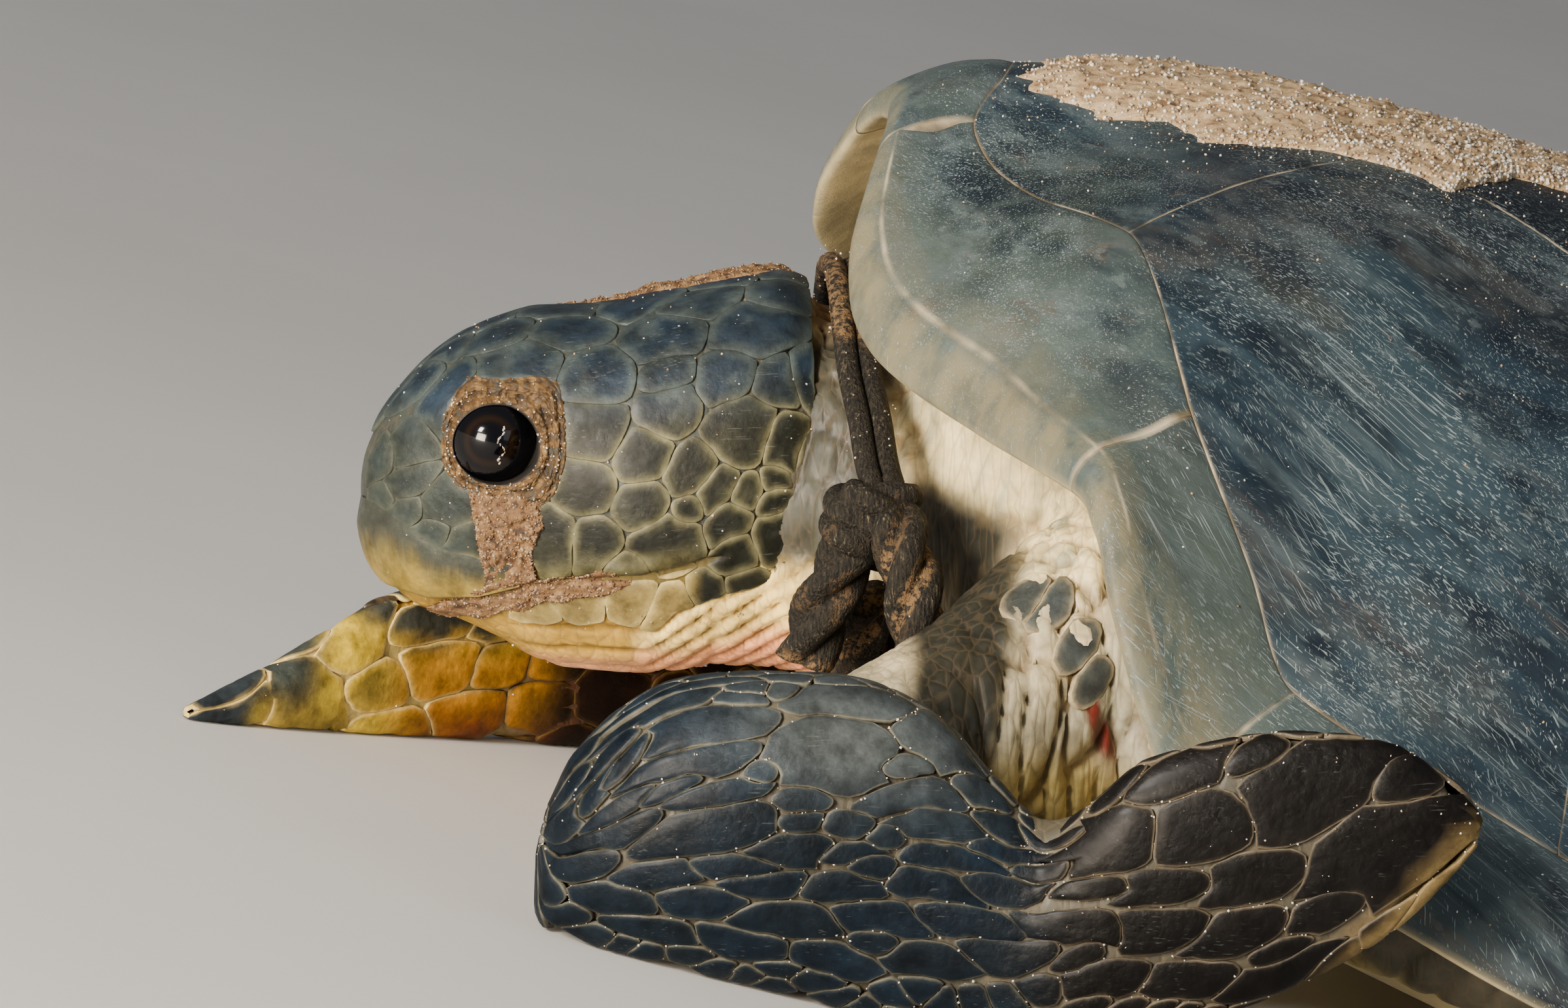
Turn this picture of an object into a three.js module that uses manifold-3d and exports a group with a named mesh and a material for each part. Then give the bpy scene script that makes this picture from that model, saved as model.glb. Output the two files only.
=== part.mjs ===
// A grown female green sea turtle (Chelonia mydas) lying still, life size, with a rope round her neck.
//
// Millimetres, +Z up.  The head points to -X and the animal's left side to -Y.  The origin is on the
// floor, under the middle of the flat that the rear of the plastron rests on.
//
// The shell is measured in the body's own axes: s runs back from the front rim along the midline, w out
// to the animal's left, and h up from the plane of the plastron.  The body lies nose up by BODY_PITCH.

import * as THREE from 'three';
import { mergeVertices } from 'three/addons/utils/BufferGeometryUtils.js';
import Module from 'manifold-3d';

const wasm = await Module();
wasm.setup();

// ---- driving dimensions -------------------------------------------------------------------------

const GAP = 0.35;
const BODY_PITCH = THREE.MathUtils.degToRad(7);
const REST_S = 740;
const REST_H = 14.7;

const SCUTE_THICK = 8;
const TRUNK_CLEARANCE = 4;
const RIM_LIP = 9;
const RIM_UNDERSIDE = 18;

const PLASTRON_THICK = 12;
const EYE_RADIUS = 22;
const EYE_PLACE = { along: 127, out: 34.5, up: 31 };
const CLAW_RADIUS = 5;
const CLAW_LENGTH = 22;
const ROPE_RADIUS = 13.5;

const HEAD_BACK = new THREE.Vector3(-712, 0, 150);
const HEAD_PITCH = THREE.MathUtils.degToRad(13);

const FLOOR_BLOCK = 4000;
const HALF_TURN = Math.PI;

// ---- finishes -----------------------------------------------------------------------------------

const FINISHES = {
  shell_scute: { color: 0x34434c, roughness: 0.35, metalness: 0 },
  plastron_horn: { color: 0xd9c98c, roughness: 0.55, metalness: 0 },
  skin: { color: 0x8a8468, roughness: 0.6, metalness: 0 },
  head_plate: { color: 0x3a4348, roughness: 0.4, metalness: 0 },
  beak_horn: { color: 0x9a9450, roughness: 0.4, metalness: 0 },
  eye: { color: 0x0b0b0d, roughness: 0.05, metalness: 0 },
  claw: { color: 0x2c2620, roughness: 0.45, metalness: 0 },
  rope: { color: 0x2b2721, roughness: 0.9, metalness: 0 },
};

// ---- numbers along a line -----------------------------------------------------------------------

// A smooth function through [x, y] pairs that never overshoots them.
function keyed(pairs) {
  const last = pairs.length - 1;
  const secant = (i) => (pairs[i + 1][1] - pairs[i][1]) / (pairs[i + 1][0] - pairs[i][0]);
  const slope = (i) => {
    if (i === 0 || i === last) {
      return secant(Math.min(i, last - 1));
    }
    const before = secant(i - 1);
    const after = secant(i);
    return before * after <= 0 ? 0 : (2 * before * after) / (before + after);
  };
  return (x) => {
    const inside = Math.min(Math.max(x, pairs[0][0]), pairs[last][0]);
    let i = 0;
    while (i < last - 1 && inside > pairs[i + 1][0]) {
      i += 1;
    }
    const width = pairs[i + 1][0] - pairs[i][0];
    const u = (inside - pairs[i][0]) / width;
    const rise = u * u * (3 - 2 * u);
    return pairs[i][1] * (1 - rise) + pairs[i + 1][1] * rise
      + width * u * (1 - u) * (slope(i) * (1 - u) - slope(i + 1) * u);
  };
}

// The same for [t, x, y, z] rows: gives [x, y, z] at t.
function keyedPath(rows) {
  const parts = [1, 2, 3].map((column) => keyed(rows.map((row) => [row[0], row[column]])));
  return (t) => parts.map((part) => part(t));
}

function stepsBetween(from, to, count) {
  return Array.from({ length: count + 1 }, (_, i) => from + ((to - from) * i) / count);
}

// ---- solids -------------------------------------------------------------------------------------

function solid(geometry) {
  const bare = geometry.clone();
  bare.deleteAttribute('normal');
  bare.deleteAttribute('uv');
  const merged = mergeVertices(bare, 1e-3);
  const corners = merged.index.array;
  const place = merged.attributes.position;
  const point = (i) => new THREE.Vector3().fromBufferAttribute(place, i);
  const faces = [];
  let volume = 0;
  for (let i = 0; i < corners.length; i += 3) {
    const [a, b, c] = [corners[i], corners[i + 1], corners[i + 2]];
    if (a !== b && b !== c && c !== a) {
      faces.push([a, b, c]);
      volume += point(a).dot(point(b).cross(point(c)));
    }
  }
  const outward = volume < 0 ? faces.map(([a, b, c]) => [a, c, b]) : faces;
  return new wasm.Manifold(new wasm.Mesh({
    numProp: 3,
    vertProperties: new Float32Array(place.array),
    triVerts: new Uint32Array(outward.flat()),
  }));
}

function fromTriangles(triangles) {
  const geometry = new THREE.BufferGeometry();
  const places = triangles.flat().flatMap((p) => [p.x, p.y, p.z]);
  geometry.setAttribute('position', new THREE.Float32BufferAttribute(places, 3));
  return solid(geometry);
}

// Joins rings of equal count into a tube and closes each end with a fan about its middle.
function loft(rings) {
  const triangles = [];
  const count = rings[0].length;
  const next = (j) => (j + 1) % count;
  for (let i = 1; i < rings.length; i += 1) {
    const [near, far] = [rings[i - 1], rings[i]];
    for (let j = 0; j < count; j += 1) {
      triangles.push([near[j], near[next(j)], far[next(j)]], [near[j], far[next(j)], far[j]]);
    }
  }
  const middle = (ring) => ring.reduce((sum, p) => sum.add(p), new THREE.Vector3())
    .divideScalar(count);
  const [first, final] = [rings[0], rings[rings.length - 1]];
  for (let j = 0; j < count; j += 1) {
    triangles.push([middle(first), first[next(j)], first[j]]);
    triangles.push([middle(final), final[j], final[next(j)]]);
  }
  return fromTriangles(triangles);
}

// An oval about a centre, with half axes u and v; power below 1 squares it up.
function oval(centre, u, v, count, power = 1) {
  const bend = (x) => Math.sign(x) * Math.abs(x) ** power;
  return stepsBetween(0, 2 * HALF_TURN, count).slice(0, count).map((angle) => centre.clone()
    .addScaledVector(u, bend(Math.cos(angle)))
    .addScaledVector(v, bend(Math.sin(angle))));
}

// A limb as ovals along a level path.  Each station is [x, y, z, heading, half width, half height],
// with the heading in degrees from +X; grow widens and lengthens the limb for a clearance cut.
function limb(stations, count, grow = 0, power = 0.9) {
  const up = new THREE.Vector3(0, 0, 1);
  return loft(stations.map(([x, y, z, heading, wide, high], i) => {
    const angle = THREE.MathUtils.degToRad(heading);
    const ahead = new THREE.Vector3(Math.cos(angle), Math.sin(angle), 0);
    const side = new THREE.Vector3(-Math.sin(angle), Math.cos(angle), 0);
    const reach = (i === 0 ? -grow : 0) + (i === stations.length - 1 ? grow : 0);
    return oval(
      new THREE.Vector3(x, y, z).addScaledVector(ahead, reach),
      side.multiplyScalar(wide + grow),
      up.clone().multiplyScalar(high + grow),
      count,
      power,
    );
  }));
}

function largest(shape) {
  return shape.decompose().sort((a, b) => b.volume() - a.volume())[0];
}

function block(width, depth, height, x, y, z) {
  const geometry = new THREE.BoxGeometry(width, depth, height);
  geometry.translate(x, y, z);
  return solid(geometry);
}

const underFloor = block(FLOOR_BLOCK, FLOOR_BLOCK, FLOOR_BLOCK, 0, 0, -FLOOR_BLOCK / 2);

// ---- the body's axes ----------------------------------------------------------------------------

function body(s, w, h) {
  const [back, up] = [s - REST_S, h - REST_H];
  const [cos, sin] = [Math.cos(BODY_PITCH), Math.sin(BODY_PITCH)];
  return new THREE.Vector3(back * cos + up * sin, -w, up * cos - back * sin);
}

// ---- the shell's surface ------------------------------------------------------------------------

// Two lines run round the shell, both followed by t: -1 at the front of the midline, 0 where the nuchal
// scute ends, then one for each marginal scute, up to 12 at the rear of the midline.  The seam line is
// the inner edge of the marginal scutes and the rim line their outer edge.  Keys are [t, s, w, h].
const REAR = 12;
const SEAM_LINE = keyedPath([
  [-1, 45, 0, 291],
  [-0.5, 40, 28, 285],
  [0, 32, 55, 266],
  [0.3, 45, 84, 253],
  [0.5, 61, 112, 251],
  [0.8, 97, 160, 256],
  [1, 138, 240, 202],
  [1.5, 178, 272, 155],
  [2, 211, 296, 115],
  [3, 292, 320, 101],
  [4, 374, 330, 88],
  [5, 455, 331, 85],
  [6, 542, 322, 90],
  [7, 624, 298, 102],
  [8, 699, 262, 117],
  [9, 764, 210, 130],
  [10, 820, 150, 140],
  [11, 862, 82, 147],
  [12, 882, 0, 150],
]);
const RIM_LINE = keyedPath([
  [-1, 2, 0, 262],
  [-0.5, 0, 28, 258],
  [0, -3, 56, 246],
  [0.3, -5, 98, 215],
  [0.45, 2, 125, 191],
  [0.6, 18, 152, 177],
  [0.75, 39, 182, 172],
  [0.9, 68, 222, 170],
  [1, 98, 264, 170],
  [1.25, 110, 285, 160],
  [1.5, 126, 304, 133],
  [2, 178, 329, 74],
  [3, 266, 352, 60],
  [4, 360, 362, 47],
  [5, 450, 366, 45],
  [6, 540, 359, 50],
  [7, 630, 338, 60],
  [8, 713, 303, 74],
  [9, 787, 250, 88],
  [10, 852, 186, 98],
  [11, 912, 108, 103],
  [12, 952, 0, 102],
]);

// Where each line across the shell leaves the spine, and the height of the spine there.
const spineAt = keyed([[-1, 300], [0, 302], [1, 322], [2, 345], [3, 372], [4, 408], [5, 450], [6, 497],
  [7, 540], [8, 570], [9, 588], [10, 598], [11, 602], [12, 605]]);
const crestUp = keyed([[300, 328], [400, 334], [450, 333], [500, 328], [605, 306]]);

// The dome falls from the spine to the seam line as 1 - share^DOME, and on to the rim as part^BRIM.
const DOME = 2.4;
const brimBend = keyed([[-1, 1.7], [0, 1.6], [0.8, 1.5], [2, 1.2], [12, 1.2]]);

function platePlace(t, share) {
  const [s, w, h] = SEAM_LINE(t);
  const spine = spineAt(t);
  return [spine + share * (s - spine), share * w, h + (crestUp(spine) - h) * (1 - share ** DOME)];
}

function brimPlace(t, part) {
  const [seam, rim] = [SEAM_LINE(t), RIM_LINE(t)];
  const fall = Math.min(part, 1) ** brimBend(t);
  return [seam[0] + part * (rim[0] - seam[0]), seam[1] + part * (rim[1] - seam[1]),
    seam[2] + fall * (rim[2] - seam[2])];
}

function sided([s, w, h], side, drop = 0) {
  return body(s, side * w, h - drop);
}

// The values of t at which the shell is drawn: closer together round the shoulders.
const RIM_STEPS = [
  ...stepsBetween(-1, 0, 2).slice(0, -1),
  ...stepsBetween(0, 1, 5).slice(0, -1),
  ...stepsBetween(1, 4, 6).slice(0, -1),
  ...stepsBetween(4, 10, 6).slice(0, -1),
  ...stepsBetween(10, REAR, 3),
];

// Each shell ray once round the animal: the left side front to rear, then the right side back again.
const RAYS = [
  ...RIM_STEPS.map((t) => [t, 1]),
  ...RIM_STEPS.slice(1, -1).reverse().map((t) => [t, -1]),
];

// Every second of them, for the trunk inside.
const TRUNK_RAYS = RAYS.filter(([t]) => t >= REAR - 1.5 || Math.abs(t - Math.round(t)) < 0.01);

const PLATE_SHARES = [0.4, 0.7, 0.88, 1];

// The domed plate inside the marginal scutes, from which the vertebral and costal scutes are cut.
function domedPlate() {
  const inset = 1 - GAP / 160;
  const ring = (share, drop) => RAYS.map(([t, side]) => sided(platePlace(t, share * inset), side, drop));
  const outside = PLATE_SHARES.map((share) => ring(share, 0));
  const inside = PLATE_SHARES.map((share) => ring(share, SCUTE_THICK)).reverse();
  return wrapped([ring(0, 0), ...outside, ...inside, ring(0, SCUTE_THICK)]);
}

// Skins over a stack of rings whose first and last are folded flat onto a line, and so need no lids.
function wrapped(rings) {
  const count = rings[0].length;
  const triangles = [];
  for (let i = 1; i < rings.length; i += 1) {
    const [near, far] = [rings[i - 1], rings[i]];
    for (let j = 0; j < count; j += 1) {
      const k = (j + 1) % count;
      if (j < count / 2) {
        triangles.push([near[j], near[k], far[k]], [near[j], far[k], far[j]]);
      } else {
        triangles.push([near[j], near[k], far[j]], [near[k], far[k], far[j]]);
      }
    }
  }
  return fromTriangles(triangles);
}

// An upright prism over a plan outline of [s, w] points, drawn in by half the gap.
function planPrism(corners) {
  const tall = 500;
  const inward = GAP / 2;
  const area = THREE.ShapeUtils.area(corners.map(([s, w]) => new THREE.Vector2(s, w)));
  const outline = area > 0 ? corners : [...corners].reverse();
  const edge = ([s1, w1], [s2, w2]) => {
    const length = Math.hypot(s2 - s1, w2 - w1);
    return [(-(w2 - w1) / length) * inward, ((s2 - s1) / length) * inward];
  };
  const drawnIn = outline.map((here, i) => {
    const before = outline[(i + outline.length - 1) % outline.length];
    const after = outline[(i + 1) % outline.length];
    const [e, f] = [edge(before, here), edge(here, after)];
    const [x, y] = [e[0] + f[0], e[1] + f[1]];
    const scale = (inward * inward * 2) / (x * x + y * y);
    return [here[0] + x * scale, here[1] + y * scale];
  });
  const ring = (h) => drawnIn.map(([s, w]) => body(s, w, h));
  const lids = THREE.ShapeUtils.triangulateShape(drawnIn.map(([s, w]) => new THREE.Vector2(s, w)), []);
  const [low, high] = [ring(0), ring(tall)];
  const triangles = lids.flatMap(([a, b, c]) => [[low[a], low[b], low[c]], [high[a], high[c], high[b]]]);
  low.forEach((point, i) => {
    const k = (i + 1) % low.length;
    triangles.push([point, high[i], high[k]], [point, high[k], low[k]]);
  });
  return fromTriangles(triangles);
}

// ---- scute seams, in plan -----------------------------------------------------------------------

// Corners of the vertebral scutes on the animal's left, as [s, w]; odd ones touch a costal seam.
const SPINE_CORNERS = [[200, 70], [292, 120], [385, 72], [472, 117], [560, 68], [642, 102], [722, 54]];

const onSeam = (t) => SEAM_LINE(t).slice(0, 2);
const pastSeam = (t) => brimPlace(t, 0.3).slice(0, 2);
const mirrored = (points) => points.map(([s, w]) => [s, -w]).reverse();

// The places along the rim where the costal seams run out, by t.
const COSTAL_ENDS = [0.8, 3.5, 5.5, 7.5, 9.5];

function vertebralOutline(index) {
  if (index === 0) {
    const start = COSTAL_ENDS[0];
    const left = [[-60, 150], pastSeam(start), onSeam(start), SPINE_CORNERS[0]];
    return [...left, ...mirrored(left)];
  }
  if (index === 4) {
    const end = COSTAL_ENDS[4];
    const left = [SPINE_CORNERS[6], onSeam(end), pastSeam(end), [1150, 150]];
    return [...left, ...mirrored(left)];
  }
  const left = SPINE_CORNERS.slice(2 * index - 2, 2 * index + 1);
  return [...left, ...mirrored(left)];
}

function costalOutline(index) {
  const [from, to] = [COSTAL_ENDS[index], COSTAL_ENDS[index + 1]];
  const inner = SPINE_CORNERS.slice(Math.max(2 * index - 1, 0), 2 * index + 2).reverse();
  return [...inner, onSeam(from), ...stepsBetween(from, to, 6).map(pastSeam), onSeam(to)];
}

// A marginal scute's section at t: over the edge from its inner seam, round the lip and back beneath.
function rimSection(t, side, grow) {
  const at = (part, drop) => sided(brimPlace(t, part), side, drop);
  const points = [
    at(0, 0),
    at(0.35, 0),
    at(0.7, 0),
    at(0.94, 0),
    at(1.02, RIM_LIP * 0.6),
    at(0.98, RIM_LIP * 1.7),
    at(0.8, RIM_UNDERSIDE),
    at(0, RIM_UNDERSIDE),
  ];
  const middle = points.reduce((sum, p) => sum.add(p), new THREE.Vector3()).divideScalar(points.length);
  return points.map((p) => p.clone().add(p.clone().sub(middle).setLength(grow)));
}

function marginal(from, to, side, grow = 0) {
  const slack = grow > 0 ? -0.01 : 0.0035;
  const inside = RIM_STEPS.filter((t) => t > from + 0.01 && t < to - 0.01);
  const ends = to >= REAR ? [from + slack, REAR - 0.0035] : [from + slack, to - slack];
  return loft([ends[0], ...inside, ends[1]].map((t) => rimSection(t, side, grow)));
}

function nuchal(grow = 0) {
  const steps = RIM_STEPS.filter((t) => t < -0.01);
  const end = grow > 0 ? 0.01 : -0.0035;
  const left = [...steps, end].map((t) => rimSection(t, 1, grow));
  const right = [...steps.slice(1), end].reverse().map((t) => rimSection(t, -1, grow));
  return loft([...right, ...left]);
}

// ---- the trunk and plastron ---------------------------------------------------------------------

const trunkFoot = keyed([[-1, 0.7], [0, 0.72], [0.8, 0.76], [1, 0.82], [2, 0.88], [3, 0.9], [5, 0.92],
  [7, 0.9], [9, 0.84], [12, 0.8]]);
const TRUNK_SHARES = [0.45, 0.8, 1];

// The plane that the belly keeps to: level with the plastron, then rising so that its rear lies flat.
const rearRise = Math.tan(BODY_PITCH);
const bellyUp = (s) => Math.max(0, REST_H + (s - REST_S) * rearRise);

function trunk() {
  const inset = 0.987;
  const drop = SCUTE_THICK + TRUNK_CLEARANCE;
  const top = [0, ...TRUNK_SHARES].map((share) => TRUNK_RAYS
    .map(([t, side]) => sided(platePlace(t, share * inset), side, drop)));
  const wall = [0.35, 0.7, 1].map((down) => TRUNK_RAYS.map(([t, side]) => {
    const bend = (down * HALF_TURN) / 2;
    const [s, w] = platePlace(t, trunkFoot(t) + (inset - trunkFoot(t)) * Math.cos(bend) ** 0.8);
    const brim = platePlace(t, inset)[2] - drop;
    const foot = bellyUp(s) + PLASTRON_THICK + GAP;
    return body(s, side * w, foot + (brim - foot) * (1 - Math.sin(bend)));
  }));
  const belly = TRUNK_RAYS.map(([t]) => {
    const s = spineAt(t);
    return body(s, 0, bellyUp(s) + PLASTRON_THICK + GAP);
  });
  return wrapped([...top, ...wall, belly]);
}

const plastronOut = keyed([[100, 62], [135, 118], [200, 160], [270, 205], [330, 248], [450, 262],
  [560, 250], [620, 205], [700, 150], [780, 108], [840, 64], [862, 34]]);

function plastron() {
  const stations = [100, 135, 200, 270, 330, 390, 450, 510, 560, 620, 680, 740, 800, 840, 862];
  const bevel = 12;
  return loft(stations.map((s) => {
    const [out, low] = [plastronOut(s), bellyUp(s)];
    const [sole, lid] = [low - 0.02, low + PLASTRON_THICK];
    return [[out, lid], [out, low + 6], [out - bevel, sole], [bevel - out, sole], [-out, low + 6],
      [-out, lid]].map(([w, h]) => body(s, w, h));
  }));
}

// ---- head ---------------------------------------------------------------------------------------

const ALONG_HEAD = new THREE.Vector3(-Math.cos(HEAD_PITCH), 0, -Math.sin(HEAD_PITCH));
const UP_HEAD = new THREE.Vector3(-Math.sin(HEAD_PITCH), 0, Math.cos(HEAD_PITCH));
const OUT_LEFT = new THREE.Vector3(0, -1, 0);

function onHead(along, out, up) {
  return HEAD_BACK.clone().addScaledVector(ALONG_HEAD, along)
    .addScaledVector(OUT_LEFT, out)
    .addScaledVector(UP_HEAD, up);
}

const crown = keyed([[-14, 94], [0, 98], [10, 97], [35, 92], [56, 87], [72, 83], [90, 81.5], [106, 81],
  [117, 78], [135, 71], [150, 61], [163, 48], [173, 35], [179, 23], [184, 8]]);
const throat = keyed([[-14, -68], [10, -74], [34, -76], [60, -78], [85, -77], [100, -75], [112, -70],
  [128, -62], [145, -55], [156, -52], [164, -48], [172, -40], [178, -32], [182, -20], [184, -4]]);
const headOut = keyed([[-14, 62], [0, 68], [25, 71], [55, 69], [85, 63], [110, 56], [130, 50], [150, 41],
  [165, 31], [175, 20], [181, 11], [184, 4]]);
const HEAD_STATIONS = [-14, 5, 35, 65, 90, 110, 126, 142, 156, 167, 175, 181, 184];

// The skull is widest above its middle: each section joins an upper and a lower half oval there.
function headForm(grow = 0) {
  const count = 14;
  return loft(HEAD_STATIONS.map((along, i) => {
    const level = throat(along) + (crown(along) - throat(along)) * 0.5;
    const [high, low] = [crown(along) - level + grow, level - throat(along) + grow];
    const reach = i === 0 ? along - grow : along;
    return stepsBetween(0, 2 * HALF_TURN, count).slice(0, count).map((angle) => {
      const [c, d] = [Math.cos(angle), Math.sin(angle)];
      const out = (headOut(along) + grow) * Math.sign(c) * Math.abs(c) ** 0.82;
      return onHead(reach, out, level + (d > 0 ? high : low) * Math.sign(d) * Math.abs(d) ** 0.9);
    });
  }));
}

// A side-view outline of [along, up] points, made into a wall right across the head.
function acrossHead(outline) {
  const reach = 150;
  return loft([reach, -reach].map((out) => outline.map(([along, up]) => onHead(along, out, up))));
}

const MOUTH = [[190, -41], [168, -41], [152, -44], [131, -41], [112, -34], [90, -29], [62, -27],
  [40, -21]];
const JAW_BACK = [[34, -40], [28, -60], [26, -90]];
const BEAK_TOP = [[112, -22], [131, -22], [150, -18], [166, -8], [176, -2], [192, 0]];

function withEdge(line, drop) {
  return line.map(([along, up]) => [along, up + drop]);
}

function eyeball(side, grow = 0) {
  const geometry = new THREE.SphereGeometry(EYE_RADIUS + grow, 12, 7);
  const centre = onHead(EYE_PLACE.along, side * EYE_PLACE.out, EYE_PLACE.up);
  geometry.translate(centre.x, centre.y, centre.z);
  return solid(geometry);
}

function headPieces() {
  const form = headForm();
  const jawZone = [...MOUTH, ...JAW_BACK, [190, -90]];
  const beakZone = [...withEdge(MOUTH.slice(0, 5), GAP), ...BEAK_TOP];
  const jaw = form.intersect(acrossHead([...withEdge(MOUTH, -GAP),
    ...JAW_BACK.map(([along, up]) => [along + GAP, up]), [190, -90]]));
  const beakCut = [...MOUTH.slice(0, 5), ...BEAK_TOP.map(([along, up]) => [along, up + GAP])];
  beakCut.splice(5, 0, [112 - GAP, -34], [112 - GAP, -22]);
  const skull = form.subtract(acrossHead(jawZone)).subtract(acrossHead(beakCut))
    .subtract(eyeball(1, GAP))
    .subtract(eyeball(-1, GAP));
  return { head: skull, lower_jaw: jaw, upper_beak: form.intersect(acrossHead(beakZone)) };
}

// ---- neck, limbs and tail -----------------------------------------------------------------------

const NECK = [
  [-736, 0, 152, 0, 60, 72],
  [-712, 0, 154, 0, 70, 82],
  [-696, 0, 157, 0, 78, 82],
  [-670, 0, 160, 0, 88, 86],
  [-640, 0, 164, 0, 100, 92],
  [-600, 0, 166, 0, 112, 98],
  [-560, 0, 164, 0, 110, 96],
];

const LEFT_FLIPPER = [
  [-803, -312, 40, 0, 8, 12],
  [-798, -312, 40, 0, 19, 34],
  [-785, -313, 47, 0, 29, 48],
  [-764, -316, 55, 0, 35, 59],
  [-730, -321, 61, 0, 38, 65],
  [-690, -326, 65, 0, 37, 68],
  [-660, -331, 62, 5, 33, 65],
  [-632, -341, 54, 10, 25, 55],
  [-606, -352, 48, 14, 18, 48],
  [-592, -359, 55, 12, 16, 56],
  [-576, -366, 69, 12, 13.5, 65],
  [-535, -376, 95, 8, 11.5, 62],
  [-505, -381, 109, 8, 10, 56],
  [-480, -385, 121, 8, 9, 46],
  [-462, -388, 128, 8, 7.5, 33],
  [-447, -390, 137, 8, 5.5, 17],
  [-440, -391, 141, 8, 3, 6],
].map(([x, y, z, turn, wide, high]) => [x, y, z, -turn, wide, high]);

const LEFT_ARM = [
  [-520, -135, 134, 219, 54, 92],
  [-560, -168, 132, 219, 54, 96],
  [-600, -201, 112, 219, 52, 88],
  [-645, -238, 84, 219, 46, 68],
  [-695, -280, 62, 219, 38, 57],
  [-735, -312, 52, 219, 26, 44],
];

const RIGHT_ARM = [
  [-520, 135, 132, 140, 54, 88],
  [-575, 180, 116, 143, 52, 80],
  [-625, 203, 84, 165, 47, 62],
  [-665, 196, 64, 200, 40, 54],
  [-700, 165, 54, 219, 20, 40],
];

const RIGHT_FLIPPER = [
  [-640, 205, 60, 205, 22, 46],
  [-665, 190, 56, 213, 30, 56],
  [-695, 165, 52, 219, 27, 55],
  [-732, 132, 46, 222, 20, 50],
  [-770, 98, 41, 222, 14, 44],
  [-805, 67, 37, 221, 11, 38.5],
  [-838, 38, 34, 220, 9.5, 35],
  [-862, 18, 31, 219, 9, 33],
  [-886, -2, 22, 219, 8, 24.5],
  [-910, -21, 13, 217, 6.5, 15],
  [-930, -35, 6, 215, 5, 8],
  [-943, -44, 2.5, 215, 2.5, 3],
];

const HIND_FLIPPER = [
  [20, 150, 62, -20, 60, 44],
  [75, 172, 48, -28, 62, 40],
  [125, 200, 34, -32, 60, 32],
  [175, 232, 20, -34, 58, 20],
  [225, 265, 12, -34, 62, 13],
  [270, 295, 8, -34, 60, 9],
  [305, 318, 6, -34, 46, 6.5],
  [328, 333, 5, -34, 26, 5],
  [337, 339, 4, -34, 8, 3],
];

const TAIL = [
  [110, 0, 62, 0, 42, 34],
  [165, 0, 48, 0, 32, 27],
  [215, 0, 32, 0, 23, 22],
  [255, 0, 18, 0, 15, 17],
  [280, 0, 9, 0, 8, 9],
  [288, 0, 6, 0, 3, 4],
];

function hindStations(side) {
  return HIND_FLIPPER.map(([x, y, z, heading, wide, high]) => [x, -side * y, z, side * heading, wide,
    high]);
}

// The one claw on a front flipper's leading edge: a cone lying level, its tip at the given heading.
function claw(x, y, z, heading, grow = 0) {
  const geometry = new THREE.ConeGeometry(CLAW_RADIUS + grow, CLAW_LENGTH + 4 * grow, 6);
  geometry.rotateZ(-HALF_TURN / 2);
  geometry.rotateZ(THREE.MathUtils.degToRad(heading));
  geometry.translate(x, y, z);
  return solid(geometry);
}

const leftClaw = (grow) => claw(-577, -367, 8, -10, grow);
const rightClaw = (grow) => claw(-869, 12, 62, 217, grow);

// ---- the rope -----------------------------------------------------------------------------------

// From the left armpit up to the knot, over the nape, down the right side and back under the throat.
const ROPE_ROUTE = [
  [-628, -181, 52],
  [-634, -179, 72],
  [-643, -175, 98],
  [-653, -169, 126],
  [-663, -161, 152],
  [-674, -146, 173],
  [-684, -125, 189],
  [-690, -104, 205],
  [-697, -84, 221],
  [-702, -60, 237],
  [-705, -32, 249],
  [-706, 0, 253],
  [-705, 32, 249],
  [-701, 62, 236],
  [-695, 86, 210],
  [-688, 97, 178],
  [-682, 97, 145],
  [-674, 86, 111],
  [-667, 62, 83],
  [-662, 32, 68],
  [-660, 0, 62],
  [-661, -32, 67],
  [-664, -62, 81],
  [-669, -88, 104],
  [-674, -106, 131],
];

function rope(grow = 0) {
  const points = ROPE_ROUTE.map(([x, y, z]) => new THREE.Vector3(x, y, z));
  if (grow > 0) {
    const [last, before] = [points[points.length - 1], points[points.length - 2]];
    points.push(last.clone().add(last.clone().sub(before).setLength(1)));
  }
  const sides = stepsBetween(0, 2 * HALF_TURN, 8).slice(0, 8);
  const radius = ROPE_RADIUS + grow;
  const tube = new THREE.ExtrudeGeometry(new THREE.Shape(sides
    .map((angle) => new THREE.Vector2(radius * Math.cos(angle), radius * Math.sin(angle)))), {
    steps: 35,
    bevelEnabled: false,
    extrudePath: new THREE.CatmullRomCurve3(points),
  });
  return solid(tube);
}

function knot() {
  const ball = new THREE.SphereGeometry(1, 10, 7);
  ball.scale(23, 21, 25);
  ball.translate(-684, -135, 168);
  const stub = limbDown([[-688, -136, 160, 14], [-693, -134, 135, 14.5], [-695, -130, 115, 14],
    [-695, -128, 101, 12.5]]);
  return solid(ball).add(stub);
}

// A short upright stub of round sections, each station [x, y, z, radius].
function limbDown(stations) {
  const [east, north] = [new THREE.Vector3(1, 0, 0), new THREE.Vector3(0, 1, 0)];
  return loft(stations.map(([x, y, z, radius]) => oval(
    new THREE.Vector3(x, y, z),
    east.clone().multiplyScalar(radius),
    north.clone().multiplyScalar(radius),
    10,
  )));
}

// ---- the model ----------------------------------------------------------------------------------

const model = new THREE.Group();

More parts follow.
